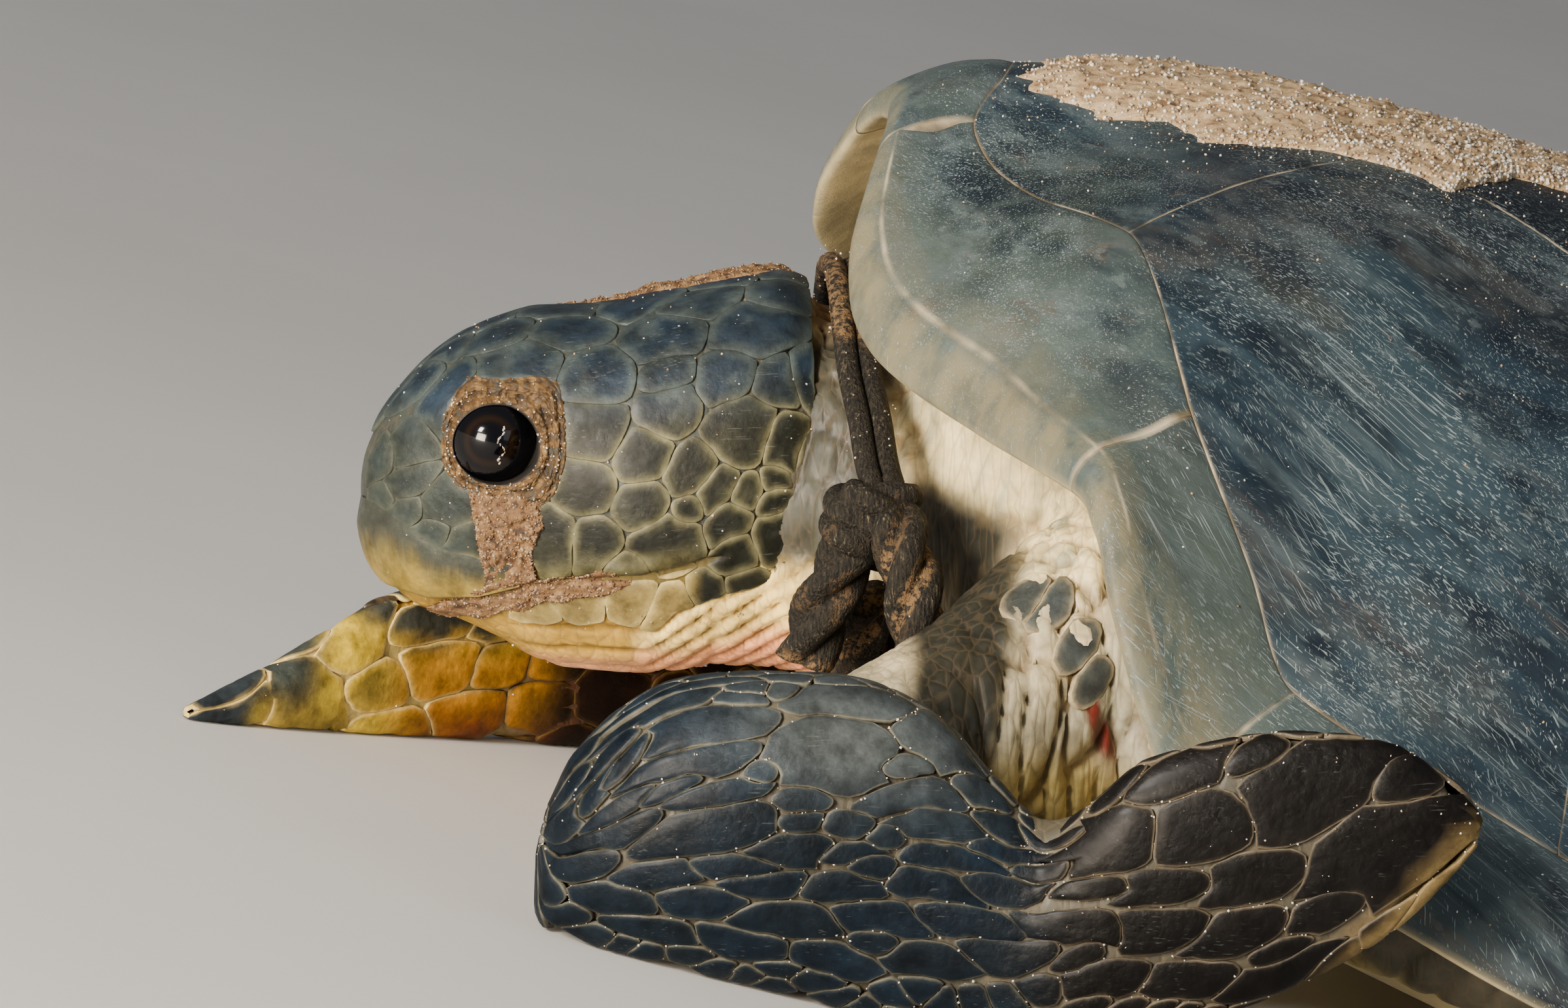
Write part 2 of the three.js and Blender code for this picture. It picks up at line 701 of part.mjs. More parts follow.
function addNode(name, shape, finish) {
  const { vertProperties, triVerts, numProp } = shape.getMesh();
  const geometry = new THREE.BufferGeometry();
  geometry.setAttribute('position', new THREE.Float32BufferAttribute(vertProperties, numProp));
  geometry.setIndex(new THREE.Uint32BufferAttribute(triVerts, 1));
  const mesh = new THREE.Mesh(geometry, new THREE.MeshStandardMaterial(FINISHES[finish]));
  mesh.name = name;
  model.add(mesh);
}

function addShell() {
  const plate = domedPlate();
  for (let i = 0; i < 5; i += 1) {
    addNode(`vertebral_${i + 1}`, largest(plate.intersect(planPrism(vertebralOutline(i)))), 'shell_scute');
  }
  for (const [name, side] of [['left', 1], ['right', -1]]) {
    for (let i = 0; i < 4; i += 1) {
      const outline = costalOutline(i).map(([s, w]) => [s, side * w]);
      addNode(`${name}_costal_${i + 1}`, largest(plate.intersect(planPrism(outline))), 'shell_scute');
    }
    for (let i = 0; i < REAR; i += 1) {
      addNode(`${name}_marginal_${i + 1}`, marginal(i, i + 1, side), 'shell_scute');
    }
  }
  addNode('nuchal', nuchal(), 'shell_scute');
}

// Flesh is cut in order: each piece keeps clear of every hard piece and of the flesh before it.
function addFlesh() {
  const rimBlocks = [nuchal(GAP)];
  for (const side of [1, -1]) {
    for (const i of [0, 1, 2, 3, 8, 9, 10, 11]) {
      rimBlocks.push(marginal(i, i + 1, side, GAP));
    }
  }
  const hard = [...rimBlocks, plastron(), rope(GAP), knot(), leftClaw(GAP), rightClaw(GAP)];
  const clear = (shape, others) => largest(others.reduce((left, other) => left.subtract(other), shape)
    .subtract(underFloor));
  const flesh = [
    ['left_flipper', (grow) => limb(LEFT_FLIPPER, 12, grow)],
    ['right_flipper', (grow) => limb(RIGHT_FLIPPER, 10, grow)],
    ['neck', (grow) => limb(NECK, 14, grow)],
    ['left_upper_arm', (grow) => limb(LEFT_ARM, 10, grow)],
    ['right_upper_arm', (grow) => limb(RIGHT_ARM, 10, grow)],
    ['left_hind_flipper', (grow) => limb(hindStations(1), 10, grow)],
    ['right_hind_flipper', (grow) => limb(hindStations(-1), 10, grow)],
    ['tail', (grow) => limb(TAIL, 8, grow)],
    ['trunk', () => trunk()],
  ];
  const taken = [...hard, headForm(GAP)];
  for (const [name, make] of flesh) {
    addNode(name, clear(make(0), taken), 'skin');
    taken.push(make(GAP));
  }
}

function addHead() {
  const { head, lower_jaw: jaw, upper_beak: beak } = headPieces();
  addNode('head', largest(head), 'head_plate');
  addNode('lower_jaw', largest(jaw), 'skin');
  addNode('upper_beak', largest(beak), 'beak_horn');
  addNode('left_eye', eyeball(1), 'eye');
  addNode('right_eye', eyeball(-1), 'eye');
}

addShell();
addNode('plastron', plastron().subtract(underFloor), 'plastron_horn');
addHead();
addFlesh();
addNode('left_claw', leftClaw(0), 'claw');
addNode('right_claw', rightClaw(0), 'claw');
addNode('neck_rope', rope(), 'rope');
addNode('rope_knot', largest(knot().subtract(rope(GAP))), 'rope');

export default model;
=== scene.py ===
"""The looks of a grown female green sea turtle lying still, with a rope round her neck.

Metres, +Z up, head to -X, the animal's left side to -Y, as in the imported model.
"""
import bpy
import numpy as np
from mathutils import Matrix, Vector


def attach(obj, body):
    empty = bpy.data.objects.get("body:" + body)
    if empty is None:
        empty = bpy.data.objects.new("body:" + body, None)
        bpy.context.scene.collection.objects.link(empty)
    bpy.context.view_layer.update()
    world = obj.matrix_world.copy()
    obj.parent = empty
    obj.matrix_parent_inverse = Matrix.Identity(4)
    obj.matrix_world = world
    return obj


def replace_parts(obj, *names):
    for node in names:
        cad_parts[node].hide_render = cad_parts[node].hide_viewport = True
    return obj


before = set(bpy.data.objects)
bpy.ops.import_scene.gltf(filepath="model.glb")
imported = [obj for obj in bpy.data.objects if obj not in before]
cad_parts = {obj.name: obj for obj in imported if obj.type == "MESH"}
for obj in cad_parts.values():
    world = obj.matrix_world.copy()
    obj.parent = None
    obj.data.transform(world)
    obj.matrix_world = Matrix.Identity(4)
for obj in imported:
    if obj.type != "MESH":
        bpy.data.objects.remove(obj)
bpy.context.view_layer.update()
rng = np.random.default_rng(11)
TAU = 2 * np.pi
MM = 0.001

# ---- camera

VIEW_TURN, VIEW_DROP, VIEW_ROLL = np.radians([-6.0, 9.0, 14.0])
VIEW_TARGET = np.array([-0.715, -0.08, 0.158])
VIEW_DISTANCE = 4.5


def placed(name, data, place, right, up, ahead):
    """Puts a camera or lamp at a place, looking ahead, with its right and up."""
    thing = bpy.data.objects.new(name, data)
    thing.matrix_world = Matrix((*zip(right, up, -ahead, place), (0, 0, 0, 1)))
    bpy.context.scene.collection.objects.link(thing)
    return thing


def set_camera():
    """A long lens on the left side of the head: turned, dropped and rolled by the angles above."""
    side = np.array([np.cos(VIEW_TURN), np.sin(VIEW_TURN), 0])
    ahead = np.array([-side[1] * np.cos(VIEW_DROP), side[0] * np.cos(VIEW_DROP), -np.sin(VIEW_DROP)])
    above = np.cross(side, ahead)
    right = np.cos(VIEW_ROLL) * side + np.sin(VIEW_ROLL) * above
    up = np.cos(VIEW_ROLL) * above - np.sin(VIEW_ROLL) * side
    data = bpy.data.cameras.new("view")
    data.sensor_width, data.lens, data.clip_end = 36, 239.0, 200
    place = VIEW_TARGET - ahead * VIEW_DISTANCE
    bpy.context.scene.camera = placed("view", data, place, right, up, ahead)


set_camera()

# ---- numbers


def keyed(pairs):
    """A smooth line through (x, y) pairs: cubic between them, with slopes that never overshoot."""
    x, y = np.array(pairs, float).T
    rise = np.diff(y) / np.diff(x)
    before, after = rise[:-1], rise[1:]
    same = before * after > 0
    middle = np.where(same, 2 * before * after / np.where(same, before + after, 1), 0)
    slope = chained(rise[:1], middle, rise[-1:])

    def at(value):
        value = np.clip(value, x[0], x[-1])
        i = np.clip(np.searchsorted(x, value) - 1, 0, len(x) - 2)
        width = x[i + 1] - x[i]
        u = (value - x[i]) / width
        blend = u * u * (3 - 2 * u)
        bow = width * u * (1 - u) * (slope[i] * (1 - u) - slope[i + 1] * u)
        return y[i] * (1 - blend) + y[i + 1] * blend + bow

    return at


def soft(value, low, high):
    """Rises from 0 at low to 1 at high along a cubic step; high may be the smaller."""
    u = np.clip((value - low) / (high - low), 0, 1)
    return u * u * (3 - 2 * u)


def bell(value, width):
    """One at zero, falling as the exponential of minus the square of value over width."""
    return np.exp(-(value / width) ** 2)


def unit(v):
    return v / np.maximum(np.linalg.norm(v, axis=-1, keepdims=True), 1e-12)


def stacked(*parts):
    return np.stack(parts, -1)


def chained(*parts):
    return np.concatenate(parts)


def mix(a, b, part):
    """From a to b by part, where a and b are colours and part one number for each point."""
    part = np.asarray(part)[..., None]
    return np.asarray(a) * (1 - part) + np.asarray(b) * part


def painted(colour, *coats):
    """Tints laid over a colour one after another, each given as (tint, part)."""
    for tint, part in coats:
        colour = mix(colour, tint, part)
    return colour


def run_of(points):
    """The length run along a line of points to each of them."""
    return chained([0], np.cumsum(np.linalg.norm(np.diff(points, axis=0), axis=1)))


def all_round(count):
    """Even angles once round."""
    return np.linspace(0, TAU, count, endpoint=False)


def squared(value, power):
    """A cosine or sine raised to a power below one with its sign kept, which squares up an oval."""
    return np.sign(value) * np.abs(value) ** power


LATTICE = rng.random(8192)


def lot(cell, draw=0):
    """A fixed random number from 0 to 1 for each whole-numbered cell."""
    key = cell[..., 0] * 73856093 ^ cell[..., 1] * 19349663 ^ cell[..., 2] * 83492791
    return LATTICE[(key + 977 * draw) & 8191]


def noise(points, size, seed=0, octaves=2):
    """Smooth random values from -1 to 1: random numbers at the corners of a lattice of that size, joined
    by cubic steps, with each further octave half as large and half as strong."""
    total, strength = 0.0, 0.0
    for octave in range(octaves):
        place = points / size * 2 ** octave + 31.7 * (seed + 1) + 5.3 * octave
        cell = np.floor(place).astype(np.int64)
        part = place - cell
        part = part * part * (3 - 2 * part)
        value = 0.0
        for corner in range(8):
            step = np.array([corner & 1, corner >> 1 & 1, corner >> 2 & 1])
            value = value + np.prod(np.where(step, part, 1 - part), axis=-1) * lot(cell + step)
        total = total + (2 * value - 1) * 0.5 ** octave
        strength += 0.5 ** octave
    return total / strength


def crackle(points, size, long=1.0, along=(0, 0, 1), seed=0):
    """How far points are from the borders of random cells of that size, drawn out along a direction: the
    distance to the second nearest of scattered centres less the distance to the nearest, in sizes."""
    along = unit(np.array(along, float))
    squeezed = points + along * (points @ along)[..., None] * (1 / long - 1)
    place = squeezed / size + 17.3 * (seed + 1)
    cell = np.floor(place).astype(np.int64)
    first = np.full(points.shape[:-1], 9.0)
    second = first.copy()
    for corner in range(27):
        at = cell + np.array([corner % 3 - 1, corner // 3 % 3 - 1, corner // 9 - 1])
        centre = at + np.stack([lot(at, draw) for draw in range(3)], -1)
        gap = np.linalg.norm(place - centre, axis=-1)
        second = np.minimum(second, np.maximum(first, gap))
        first = np.minimum(first, gap)
    return second - first


# ---- meshes


def lattice(rows, columns, wrap=True, start=0):
    """Quads of a grid of points in rows; wrap joins each row's last column to its first."""
    i, j = np.meshgrid(np.arange(rows - 1), np.arange(columns if wrap else columns - 1), indexing="ij")
    k = (j + 1) % columns
    quads = stacked(i * columns + j, i * columns + k, (i + 1) * columns + k, (i + 1) * columns + j)
    return quads.reshape(-1, 4) + start


def fan(ring, middle, outward=True):
    """Triangles from one middle point to a closed ring of points."""
    following = np.roll(ring, -1)
    sides = (ring, following) if outward else (following, ring)
    return stacked(np.full(len(ring), middle), *sides)


def capped(place, ends=None):
    """Rows of places once round a piece as points and faces, with a fan at each end about its middle."""
    rows, columns = place.shape[:2]
    ends = place[[0, -1]].mean(axis=1) if ends is None else ends
    ring, last = np.arange(columns), rows * columns
    faces = [lattice(rows, columns), fan(ring, last, False), fan(ring + last - columns, last + 1)]
    return chained(place.reshape(-1, 3), ends), faces


def facing_out(rows):
    """Unit normals of rows of places round a piece, pointing away from each row's middle."""
    normals = unit(np.cross(np.gradient(rows, axis=0), np.roll(rows, -1, 1) - np.roll(rows, 1, 1)))
    away = rows - rows.mean(axis=1, keepdims=True)
    return normals * np.sign(np.einsum("ijk,ijk->", normals, away))


def as_triangles(faces):
    return np.concatenate([f if f.shape[1] == 3 else chained(f[:, [0, 1, 2]], f[:, [0, 2, 3]])
        for f in faces])


def turned_out(points, faces):
    """The same faces, all turned over if the volume they close is less than nothing."""
    a, b, c = (points[corner] for corner in as_triangles(faces).T)
    volume = np.einsum("ij,ij->", a, np.cross(b, c))
    return [f[:, ::-1] for f in faces] if volume < 0 else faces


def new_mesh(name, points, faces, values=None, tint=None, uv=None, turn_out=True):
    """A mesh from an array of points and arrays of faces, with numbers and colours kept on its points."""
    points = np.ascontiguousarray(points, np.float64).reshape(-1, 3)
    faces = turned_out(points, faces) if turn_out else faces
    corners = np.concatenate([f.ravel() for f in faces]).astype(np.int32)
    sizes = np.concatenate([np.full(len(f), f.shape[1]) for f in faces])
    mesh = bpy.data.meshes.new(name)
    mesh.vertices.add(len(points))
    mesh.vertices.foreach_set("co", points.ravel())
    mesh.loops.add(len(corners))
    mesh.loops.foreach_set("vertex_index", corners)
    mesh.polygons.add(len(sizes))
    mesh.polygons.foreach_set("loop_start", (np.cumsum(sizes) - sizes).astype(np.int32))
    mesh.update(calc_edges=True)
    mesh.shade_smooth()
    for key, numbers in (values or {}).items():
        mesh.attributes.new(key, "FLOAT", "POINT").data.foreach_set("value", np.asarray(numbers).ravel())
    if tint is not None:
        set_tint(mesh, tint)
    if uv is not None:
        mesh.uv_layers.new(name="OFBake").data.foreach_set("uv", uv.reshape(-1, 2)[corners].ravel())
    return mesh


def set_tint(mesh, tint):
    colours = np.ones((len(mesh.vertices), 4))
    colours[:, :3] = np.clip(tint.reshape(-1, 3), 0, 1)
    mesh.attributes.new("tint", "FLOAT_COLOR", "POINT").data.foreach_set("color", colours.ravel())


def add_piece(mesh, finish, stands_for=()):
    """Puts a mesh in the scene as a piece of the animal, under the mesh's name, riding on its one body."""
    piece = bpy.data.objects.new(mesh.name, mesh)
    bpy.context.scene.collection.objects.link(piece)
    mesh.materials.append(finish)
    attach(piece, "root")
    if stands_for:
        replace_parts(piece, *stands_for)
    return piece


def joined(parts):
    """Several (points, faces, numbers) as one, the numbers being a dictionary of arrays."""
    points, faces, values, start = [], [], {}, 0
    for some, their_faces, their_values in parts:
        points.append(some)
        faces += [f + start for f in their_faces]
        start += len(some)
        for key, numbers in their_values.items():
            values.setdefault(key, []).append(numbers)
    return np.concatenate(points), faces, {key: np.concatenate(all_) for key, all_ in values.items()}


# ---- node materials


class Finish:
    """A material under way: each call adds one node and gives back its output."""

    def __init__(self, name):
        self.material = bpy.data.materials.new(name)
        self.material.use_nodes = True
        self.tree = self.material.node_tree
        self.shader = self.tree.nodes["Principled BSDF"]
        self.here = self.node("TexCoord").outputs["Object"]

    def node(self, kind, inputs=(), **settings):
        node = self.tree.nodes.new("ShaderNode" + kind)
        for key, value in settings.items():
            setattr(node, key, value)
        for key, value in dict(inputs).items():
            self.put(node.inputs[key], value)
        return node

    def put(self, socket, value):
        if isinstance(value, bpy.types.NodeSocket):
            self.tree.links.new(value, socket)
        else:
            socket.default_value = (*value, 1) if socket.type == "RGBA" else value

    def set(self, **values):
        for key, value in values.items():
            self.put(self.shader.inputs[key.replace("_", " ")], value)

    def drawn(self, along, long, short=1.0):
        """Places in which a pattern comes out long times larger along a direction and short times across."""
        inputs = {"Vector": self.here, "Rotation": tuple(Vector(along).to_track_quat("X", "Z").to_euler()),
            "Scale": (long, short, short)}
        return self.node("Mapping", inputs, vector_type="TEXTURE").outputs[0]

    def cloud(self, scale, detail=3, rough=0.55, at=None, lift=0.0):
        inputs = {"Vector": at or self.here, "Scale": scale, "Detail": detail, "Roughness": rough,
            "Distortion": lift}
        return self.node("TexNoise", inputs).outputs["Fac"]

    def cells(self, scale, at, feature="F1"):
        """Distance to the middle of the nearest random cell, or to its border."""
        inputs = {"Vector": at, "Scale": scale}
        return self.node("TexVoronoi", inputs, feature=feature).outputs["Distance"]

    def patches(self, scale, detail, low, high, to_low=0.0, to_high=1.0):
        return self.span(self.cloud(scale, detail), low, high, to_low, to_high)

    def span(self, value, low, high, to_low=0.0, to_high=1.0):
        inputs = {"Value": value, "From Min": low, "From Max": high, "To Min": to_low, "To Max": to_high}
        return self.node("MapRange", inputs).outputs[0]

    def sum(self, kind, a, b):
        return self.node("Math", {0: a, 1: b}, operation=kind).outputs[0]

    def times(self, total, *values):
        for value in values:
            total = self.sum("MULTIPLY", total, value)
        return total

    def blend(self, part, a, b, how="MIX"):
        return self.node("Mix", {0: part, 6: a, 7: b}, data_type="RGBA", blend_type=how).outputs[2]

    def shaded(self, colour, low, high, scale, detail=4):
        """The colour made darker and lighter by a cloud, between two strengths."""
        cloud = self.span(self.cloud(scale, detail, 0.65), 0.3, 0.7, low, high)
        grey = self.node("CombineColor", {0: cloud, 1: cloud, 2: cloud}).outputs[0]
        return self.blend(1.0, colour, grey, "MULTIPLY")

    def value(self, name, kind="Fac"):
        return self.node("Attribute", attribute_name=name).outputs[kind]

    def bump(self, height, distance, strength):
        inputs = {"Height": height, "Distance": distance, "Strength": strength}
        self.set(Normal=self.node("Bump", inputs).outputs[0])


STREAKS = (0.85, -0.25, -0.45)


def scratches(f, direction, wide, reach, low, patch):
    """Fine hair scratches: a noise drawn out along a direction, cut near its top, in patches only."""
    grain = f.cloud(1.0 / wide, 1, 0.5, f.drawn(direction, reach))
    return f.times(f.span(grain, low, low + 0.04), f.span(f.cloud(patch, 2), 0.46, 0.62))


def shell_finish():
    """Worn wet horn: grey-teal ground clouded with brown and olive, soft navy spots, dark and pale streaks
    that run down and back, hair scratches, a paler worn rim, and thin broken pale seams."""
    f = Finish("worn_scute_horn")
    drawn, hatched, long_drawn = f.drawn(STREAKS, 2.2), f.drawn(STREAKS, 14), f.drawn((0, 0.2, 1), 3)
    worn, seam = f.value("worn"), f.value("seam")
    calm = f.span(worn, 0.12, 0.5, 1.0, 0.25)
    ground = f.blend(f.span(f.cloud(9, 5, 0.62), 0.38, 0.62), (0.007, 0.017, 0.029), (0.024, 0.044, 0.057))

    def clouded(scale, detail, rough, at, low, high, *parts):
        return f.times(f.span(f.cloud(scale, detail, rough, at), low, high), *parts)

    marks = scratches(f, STREAKS, 0.0008, 170, 0.62, 9)
    for direction, wide, reach, low, patch in (((0.2, -0.3, -0.93), 0.0008, 60, 0.67, 16),
        ((0.95, 0.1, -0.28), 0.0007, 110, 0.65, 13), ((0.62, -0.35, -0.7), 0.0007, 90, 0.64, 20)):
        marks = f.sum("MAXIMUM", marks, scratches(f, direction, wide, reach, low, patch))
    pale = f.blend(f.patches(35, 3, 0.4, 0.6), (0.16, 0.12, 0.065), (0.6, 0.51, 0.35))
    belly = f.blend(clouded(26, 4, 0.6, long_drawn, 0.35, 0.65), (0.52, 0.43, 0.24), (0.2, 0.185, 0.115))
    for part, tint in ((clouded(13, 4, 0.6, drawn, 0.5, 0.62, 0.6), (0.034, 0.028, 0.022)),
        (f.times(f.span(f.cloud(6.5, 3, 0.5, lift=0.4), 0.5, 0.66), 0.6), (0.022, 0.03, 0.018)),
        (f.times(f.span(worn, 0.0, 0.6), clouded(24, 5, 0.68, drawn, 0.22, 0.5)), (0.064, 0.084, 0.074)),
        (clouded(58, 5, 0.72, hatched, 0.45, 0.62, f.patches(12, 3, 0.38, 0.6), 0.6), (0.096, 0.124, 0.13)),
        (clouded(46, 4, 0.7, f.drawn(STREAKS, 9), 0.6, 0.68, 0.35), (0.09, 0.052, 0.032)),
        (clouded(50, 4, 0.66, f.drawn(STREAKS, 5), 0.5, 0.62, calm, 0.7), (0.005, 0.01, 0.017)),
        (f.times(f.span(f.cells(42, f.drawn(STREAKS, 1.5)), 0.34, 0.16), f.patches(15, 2, 0.42, 0.54), calm,
        0.8), (0.003, 0.007, 0.014)), (clouded(17, 4, 0.65, drawn, 0.54, 0.61, calm, 0.8),
        (0.003, 0.007, 0.013)), (clouded(150, 3, 0.6, drawn, 0.6, 0.68, f.patches(15, 2, 0.45, 0.6), 0.4),
        (0.12, 0.15, 0.15)), (f.times(f.span(worn, 0.0, -0.5), 0.95), (0.001, 0.004, 0.009)),
        (f.times(f.span(worn, 0.62, 1.0), clouded(38, 4, 0.7, long_drawn, 0.34, 0.56)), (0.24, 0.2, 0.105)),
        (f.times(marks, 0.6), (0.28, 0.34, 0.35)), (f.times(seam, f.patches(26, 3, 0.34, 0.54, 0.08, 1.0)),
        pale), (f.value("under"), belly)):
        ground = f.blend(part, ground, tint)
    f.set(Base_Color=ground, Coat_Weight=0.05, Coat_Roughness=0.3, Specular_IOR_Level=0.25)
    f.set(Roughness=f.span(f.cloud(26, 5, 0.7, drawn), 0.3, 0.7, 0.38, 0.72))
    f.bump(f.sum("ADD", f.cloud(60, 5, 0.68, drawn), f.times(marks, -0.3)), 0.0018, 0.6)
    return f.material


def plate_finish(name, gloss=0.42, coat=0.06, fleck=0.1, shine=0.22):
    """Smooth horn scales: the piece's own tint, clouded, mottled and scratched, with a fine grain."""
    f = Finish(name)
    ground = f.shaded(f.value("tint", "Color"), 0.48, 1.7, 85, 5)
    ground = f.shaded(ground, 0.7, 1.28, 28)
    marks = scratches(f, (0.97, 0.05, 0.25), 0.0008, 22, 0.66, 38)
    ground = f.blend(f.times(marks, fleck), ground, (0.42, 0.45, 0.42))
    f.set(Base_Color=ground, Coat_Weight=coat, Coat_Roughness=0.22, Specular_IOR_Level=shine)
    f.set(Roughness=f.patches(120, 3, 0.3, 0.7, gloss, gloss + 0.26))
    f.bump(f.sum("ADD", f.cloud(240, 5, 0.65), f.times(f.cloud(60, 3), 1.5)), 0.0008, 0.6)
    return f.material


def skin_finish():
    """Soft folded skin: the piece's own tint, mottled, with fine wrinkles in long narrow cells."""
    f = Finish("folded_skin")
    ground = f.shaded(f.value("tint", "Color"), 0.66, 1.34, 60, 5)
    wrinkle = f.span(f.cells(170, f.drawn((0.22, -0.18, -0.96), 4.0), "DISTANCE_TO_EDGE"), 0.0, 0.22)
    ground = f.blend(f.span(wrinkle, 0.0, 0.5, 0.3, 0.0), ground, (0.12, 0.08, 0.04))
    f.set(Base_Color=ground, Roughness=f.patches(80, 3, 0.3, 0.7, 0.4, 0.66), Subsurface_Weight=0.1,
        Subsurface_Radius=(0.006, 0.003, 0.0015), Coat_Weight=0.05, Coat_Roughness=0.3,
        Specular_IOR_Level=0.3)
    f.bump(f.sum("ADD", wrinkle, f.times(f.cloud(380, 3), 0.6)), 0.0005, 0.5)
    return f.material


def plain_finish(name, colours, scale, rough, bump, coat=0.0):
    """Two colours clouded together over a grain of the given scale."""
    f = Finish(name)
    f.set(Base_Color=f.blend(f.span(f.cloud(scale, 4, 0.65), 0.35, 0.65), *colours), Roughness=rough,
        Coat_Weight=coat)
    f.bump(f.cloud(scale * 3, 4, 0.7), bump, 0.8)
    return f.material


def eye_finish():
    """A wet black eye: a very dark brown iris round a black pupil, under a clear coat."""
    f = Finish("wet_black_eye")
    ring = f.value("iris")
    f.set(Base_Color=f.blend(ring, (0.001, 0.001, 0.002), (0.01, 0.005, 0.002)), Roughness=0.16,
        Coat_Weight=0.6, Coat_Roughness=0.03, Specular_IOR_Level=0.1)
    return f.material


def rope_finish():
    """Old dark rope: brown-black yarns with a few paler worn fibres and sand in the lay."""
    f = Finish("old_laid_rope")
    yarn = f.cloud(1.0, 3, 0.6, f.drawn((0.2, -0.3, -0.93), 0.008, 0.0011))
    dark = f.blend(f.span(yarn, 0.38, 0.68), (0.005, 0.0045, 0.004), (0.032, 0.026, 0.017))
    fibres = f.times(f.value("crest"), f.span(yarn, 0.6, 0.68), f.patches(60, 3, 0.42, 0.6))
    ground = f.blend(f.times(fibres, 0.6), dark, (0.26, 0.21, 0.13))
    sandy = f.times(f.value("sandy"), f.span(f.cloud(300, 4, 0.7), 0.46, 0.56))
    f.set(Base_Color=f.blend(sandy, ground, (0.17, 0.1, 0.044)), Roughness=0.8, Specular_IOR_Level=0.25)
    f.bump(f.sum("ADD", yarn, f.cloud(900, 2)), 0.0011, 1.0)
    return f.material


def sand_finish():
    """Damp clinging sand: each grain's own tint over a speckle of ochre, cream and brown."""
    f = Finish("clinging_sand")
    f.set(Base_Color=f.shaded(f.value("tint", "Color"), 0.65, 1.35, 900), Roughness=0.75)
    f.bump(f.cloud(1200, 3, 0.7), 0.0006, 0.6)
    return f.material


SHELL = shell_finish()
PLATE = plate_finish("smooth_scale_horn")
WET_PLATE = plate_finish("wet_flipper_horn", 0.36, 0.05, 0.05, shine=0.1)
SKIN = skin_finish()
BEAK = plate_finish("beak_horn", 0.34, 0.15, 0.05, shine=0.3)
LID = plate_finish("crusted_lid_skin", 0.5, 0.05, 0.0)
WET_EYE = eye_finish()
ROPE = rope_finish()
SAND = sand_finish()
CLAW = plain_finish("dark_claw_horn", ((0.02, 0.015, 0.01), (0.1, 0.07, 0.04)), 200, 0.35, 0.0003, 0.3)
PLASTRON = plain_finish("pale_plastron_horn", ((0.5, 0.4, 0.18), (0.74, 0.63, 0.36)), 14, 0.45, 0.0008, 0.2)

# ---- the shell

BODY_PITCH = np.radians(7)
REST = np.array([0.74, 0.0147])
RAY = np.linspace(-1, 12, 2601)

SEAM_KEYS = [[-1, 45, 0, 291], [-0.5, 40, 28, 285], [0, 32, 55, 266], [0.3, 45, 84, 253], [0.5, 61, 112, 251],
    [0.8, 97, 160, 256], [1, 138, 240, 202], [1.5, 178, 272, 155], [2, 211, 296, 115], [3, 292, 320, 101],
    [4, 374, 330, 88], [5, 455, 331, 85], [6, 542, 322, 90], [7, 624, 298, 102], [8, 699, 262, 117],
    [9, 764, 210, 130], [10, 820, 150, 140], [11, 862, 82, 147], [12, 882, 0, 150]]
RIM_KEYS = [[-1, 2, 0, 262], [-0.5, 0, 28, 258], [0, -3, 56, 246], [0.3, -5, 98, 215], [0.45, 2, 125, 191],
    [0.6, 18, 152, 177], [0.75, 39, 182, 172], [0.9, 68, 222, 170], [1, 98, 264, 170], [1.25, 110, 285, 160],
    [1.5, 126, 304, 133], [2, 178, 329, 74], [3, 266, 352, 60], [4, 360, 362, 47], [5, 450, 366, 45],
    [6, 540, 359, 50], [7, 630, 338, 60], [8, 713, 303, 74], [9, 787, 250, 88], [10, 852, 186, 98],
    [11, 912, 108, 103], [12, 952, 0, 102]]
SPINE_KEYS = [[-1, 300], [0, 302], [1, 322], [2, 345], [3, 372], [4, 408], [5, 450], [6, 497], [7, 540],
    [8, 570], [9, 588], [10, 598], [11, 602], [12, 605]]
CREST_KEYS = [[300, 328], [400, 334], [450, 333], [500, 328], [605, 306]]


def line_of(keys):
    """The line that runs round the shell through keys of [ray, s, w, h], as a table by ray."""
    rows = np.array(keys, float)
    return np.stack([keyed(rows[:, [0, k]])(RAY) for k in (1, 2, 3)], -1) * MM


SEAM_LINE, RIM_LINE = line_of(SEAM_KEYS), line_of(RIM_KEYS)
SPINE_LINE = keyed(SPINE_KEYS)(RAY) * MM
CREST_LINE = keyed(CREST_KEYS)(SPINE_LINE / MM) * MM
BRIM_BEND = keyed([[-1, 1.7], [0, 1.6], [0.8, 1.5], [2, 1.2], [12, 1.2]])(RAY)


def on(table, t):
    return np.stack([np.interp(t, RAY, table[:, k]) for k in range(3)], -1)


def to_model(s, w, h):
    """From the body's own axes to the model's: a turn by the body's pitch about the rest point."""
    back, up = s - REST[0], h - REST[1]
    c, d = np.cos(BODY_PITCH), np.sin(BODY_PITCH)
    return np.stack(np.broadcast_arrays(back * c + up * d, -w, up * c - back * d), -1)


def ray_at(s, w):
    """The shell ray through plan point (s, w) and the share of it run there, found by halving."""
    across = np.abs(w)
    low, high = np.full(np.shape(across), -1.0), np.full(np.shape(across), 12.0)
    for _ in range(24):
        middle = (low + high) / 2
        spine = np.interp(middle, RAY, SPINE_LINE)
        seam = on(SEAM_LINE, middle)
        past = (s - spine) * seam[..., 1] - across * (seam[..., 0] - spine) > 0
        low, high = np.where(past, middle, low), np.where(past, high, middle)
    spine = np.interp(low, RAY, SPINE_LINE)
    seam = on(SEAM_LINE, low)
    run = np.hypot(s - spine, across) / np.hypot(seam[..., 0] - spine, seam[..., 1])
    return low, run


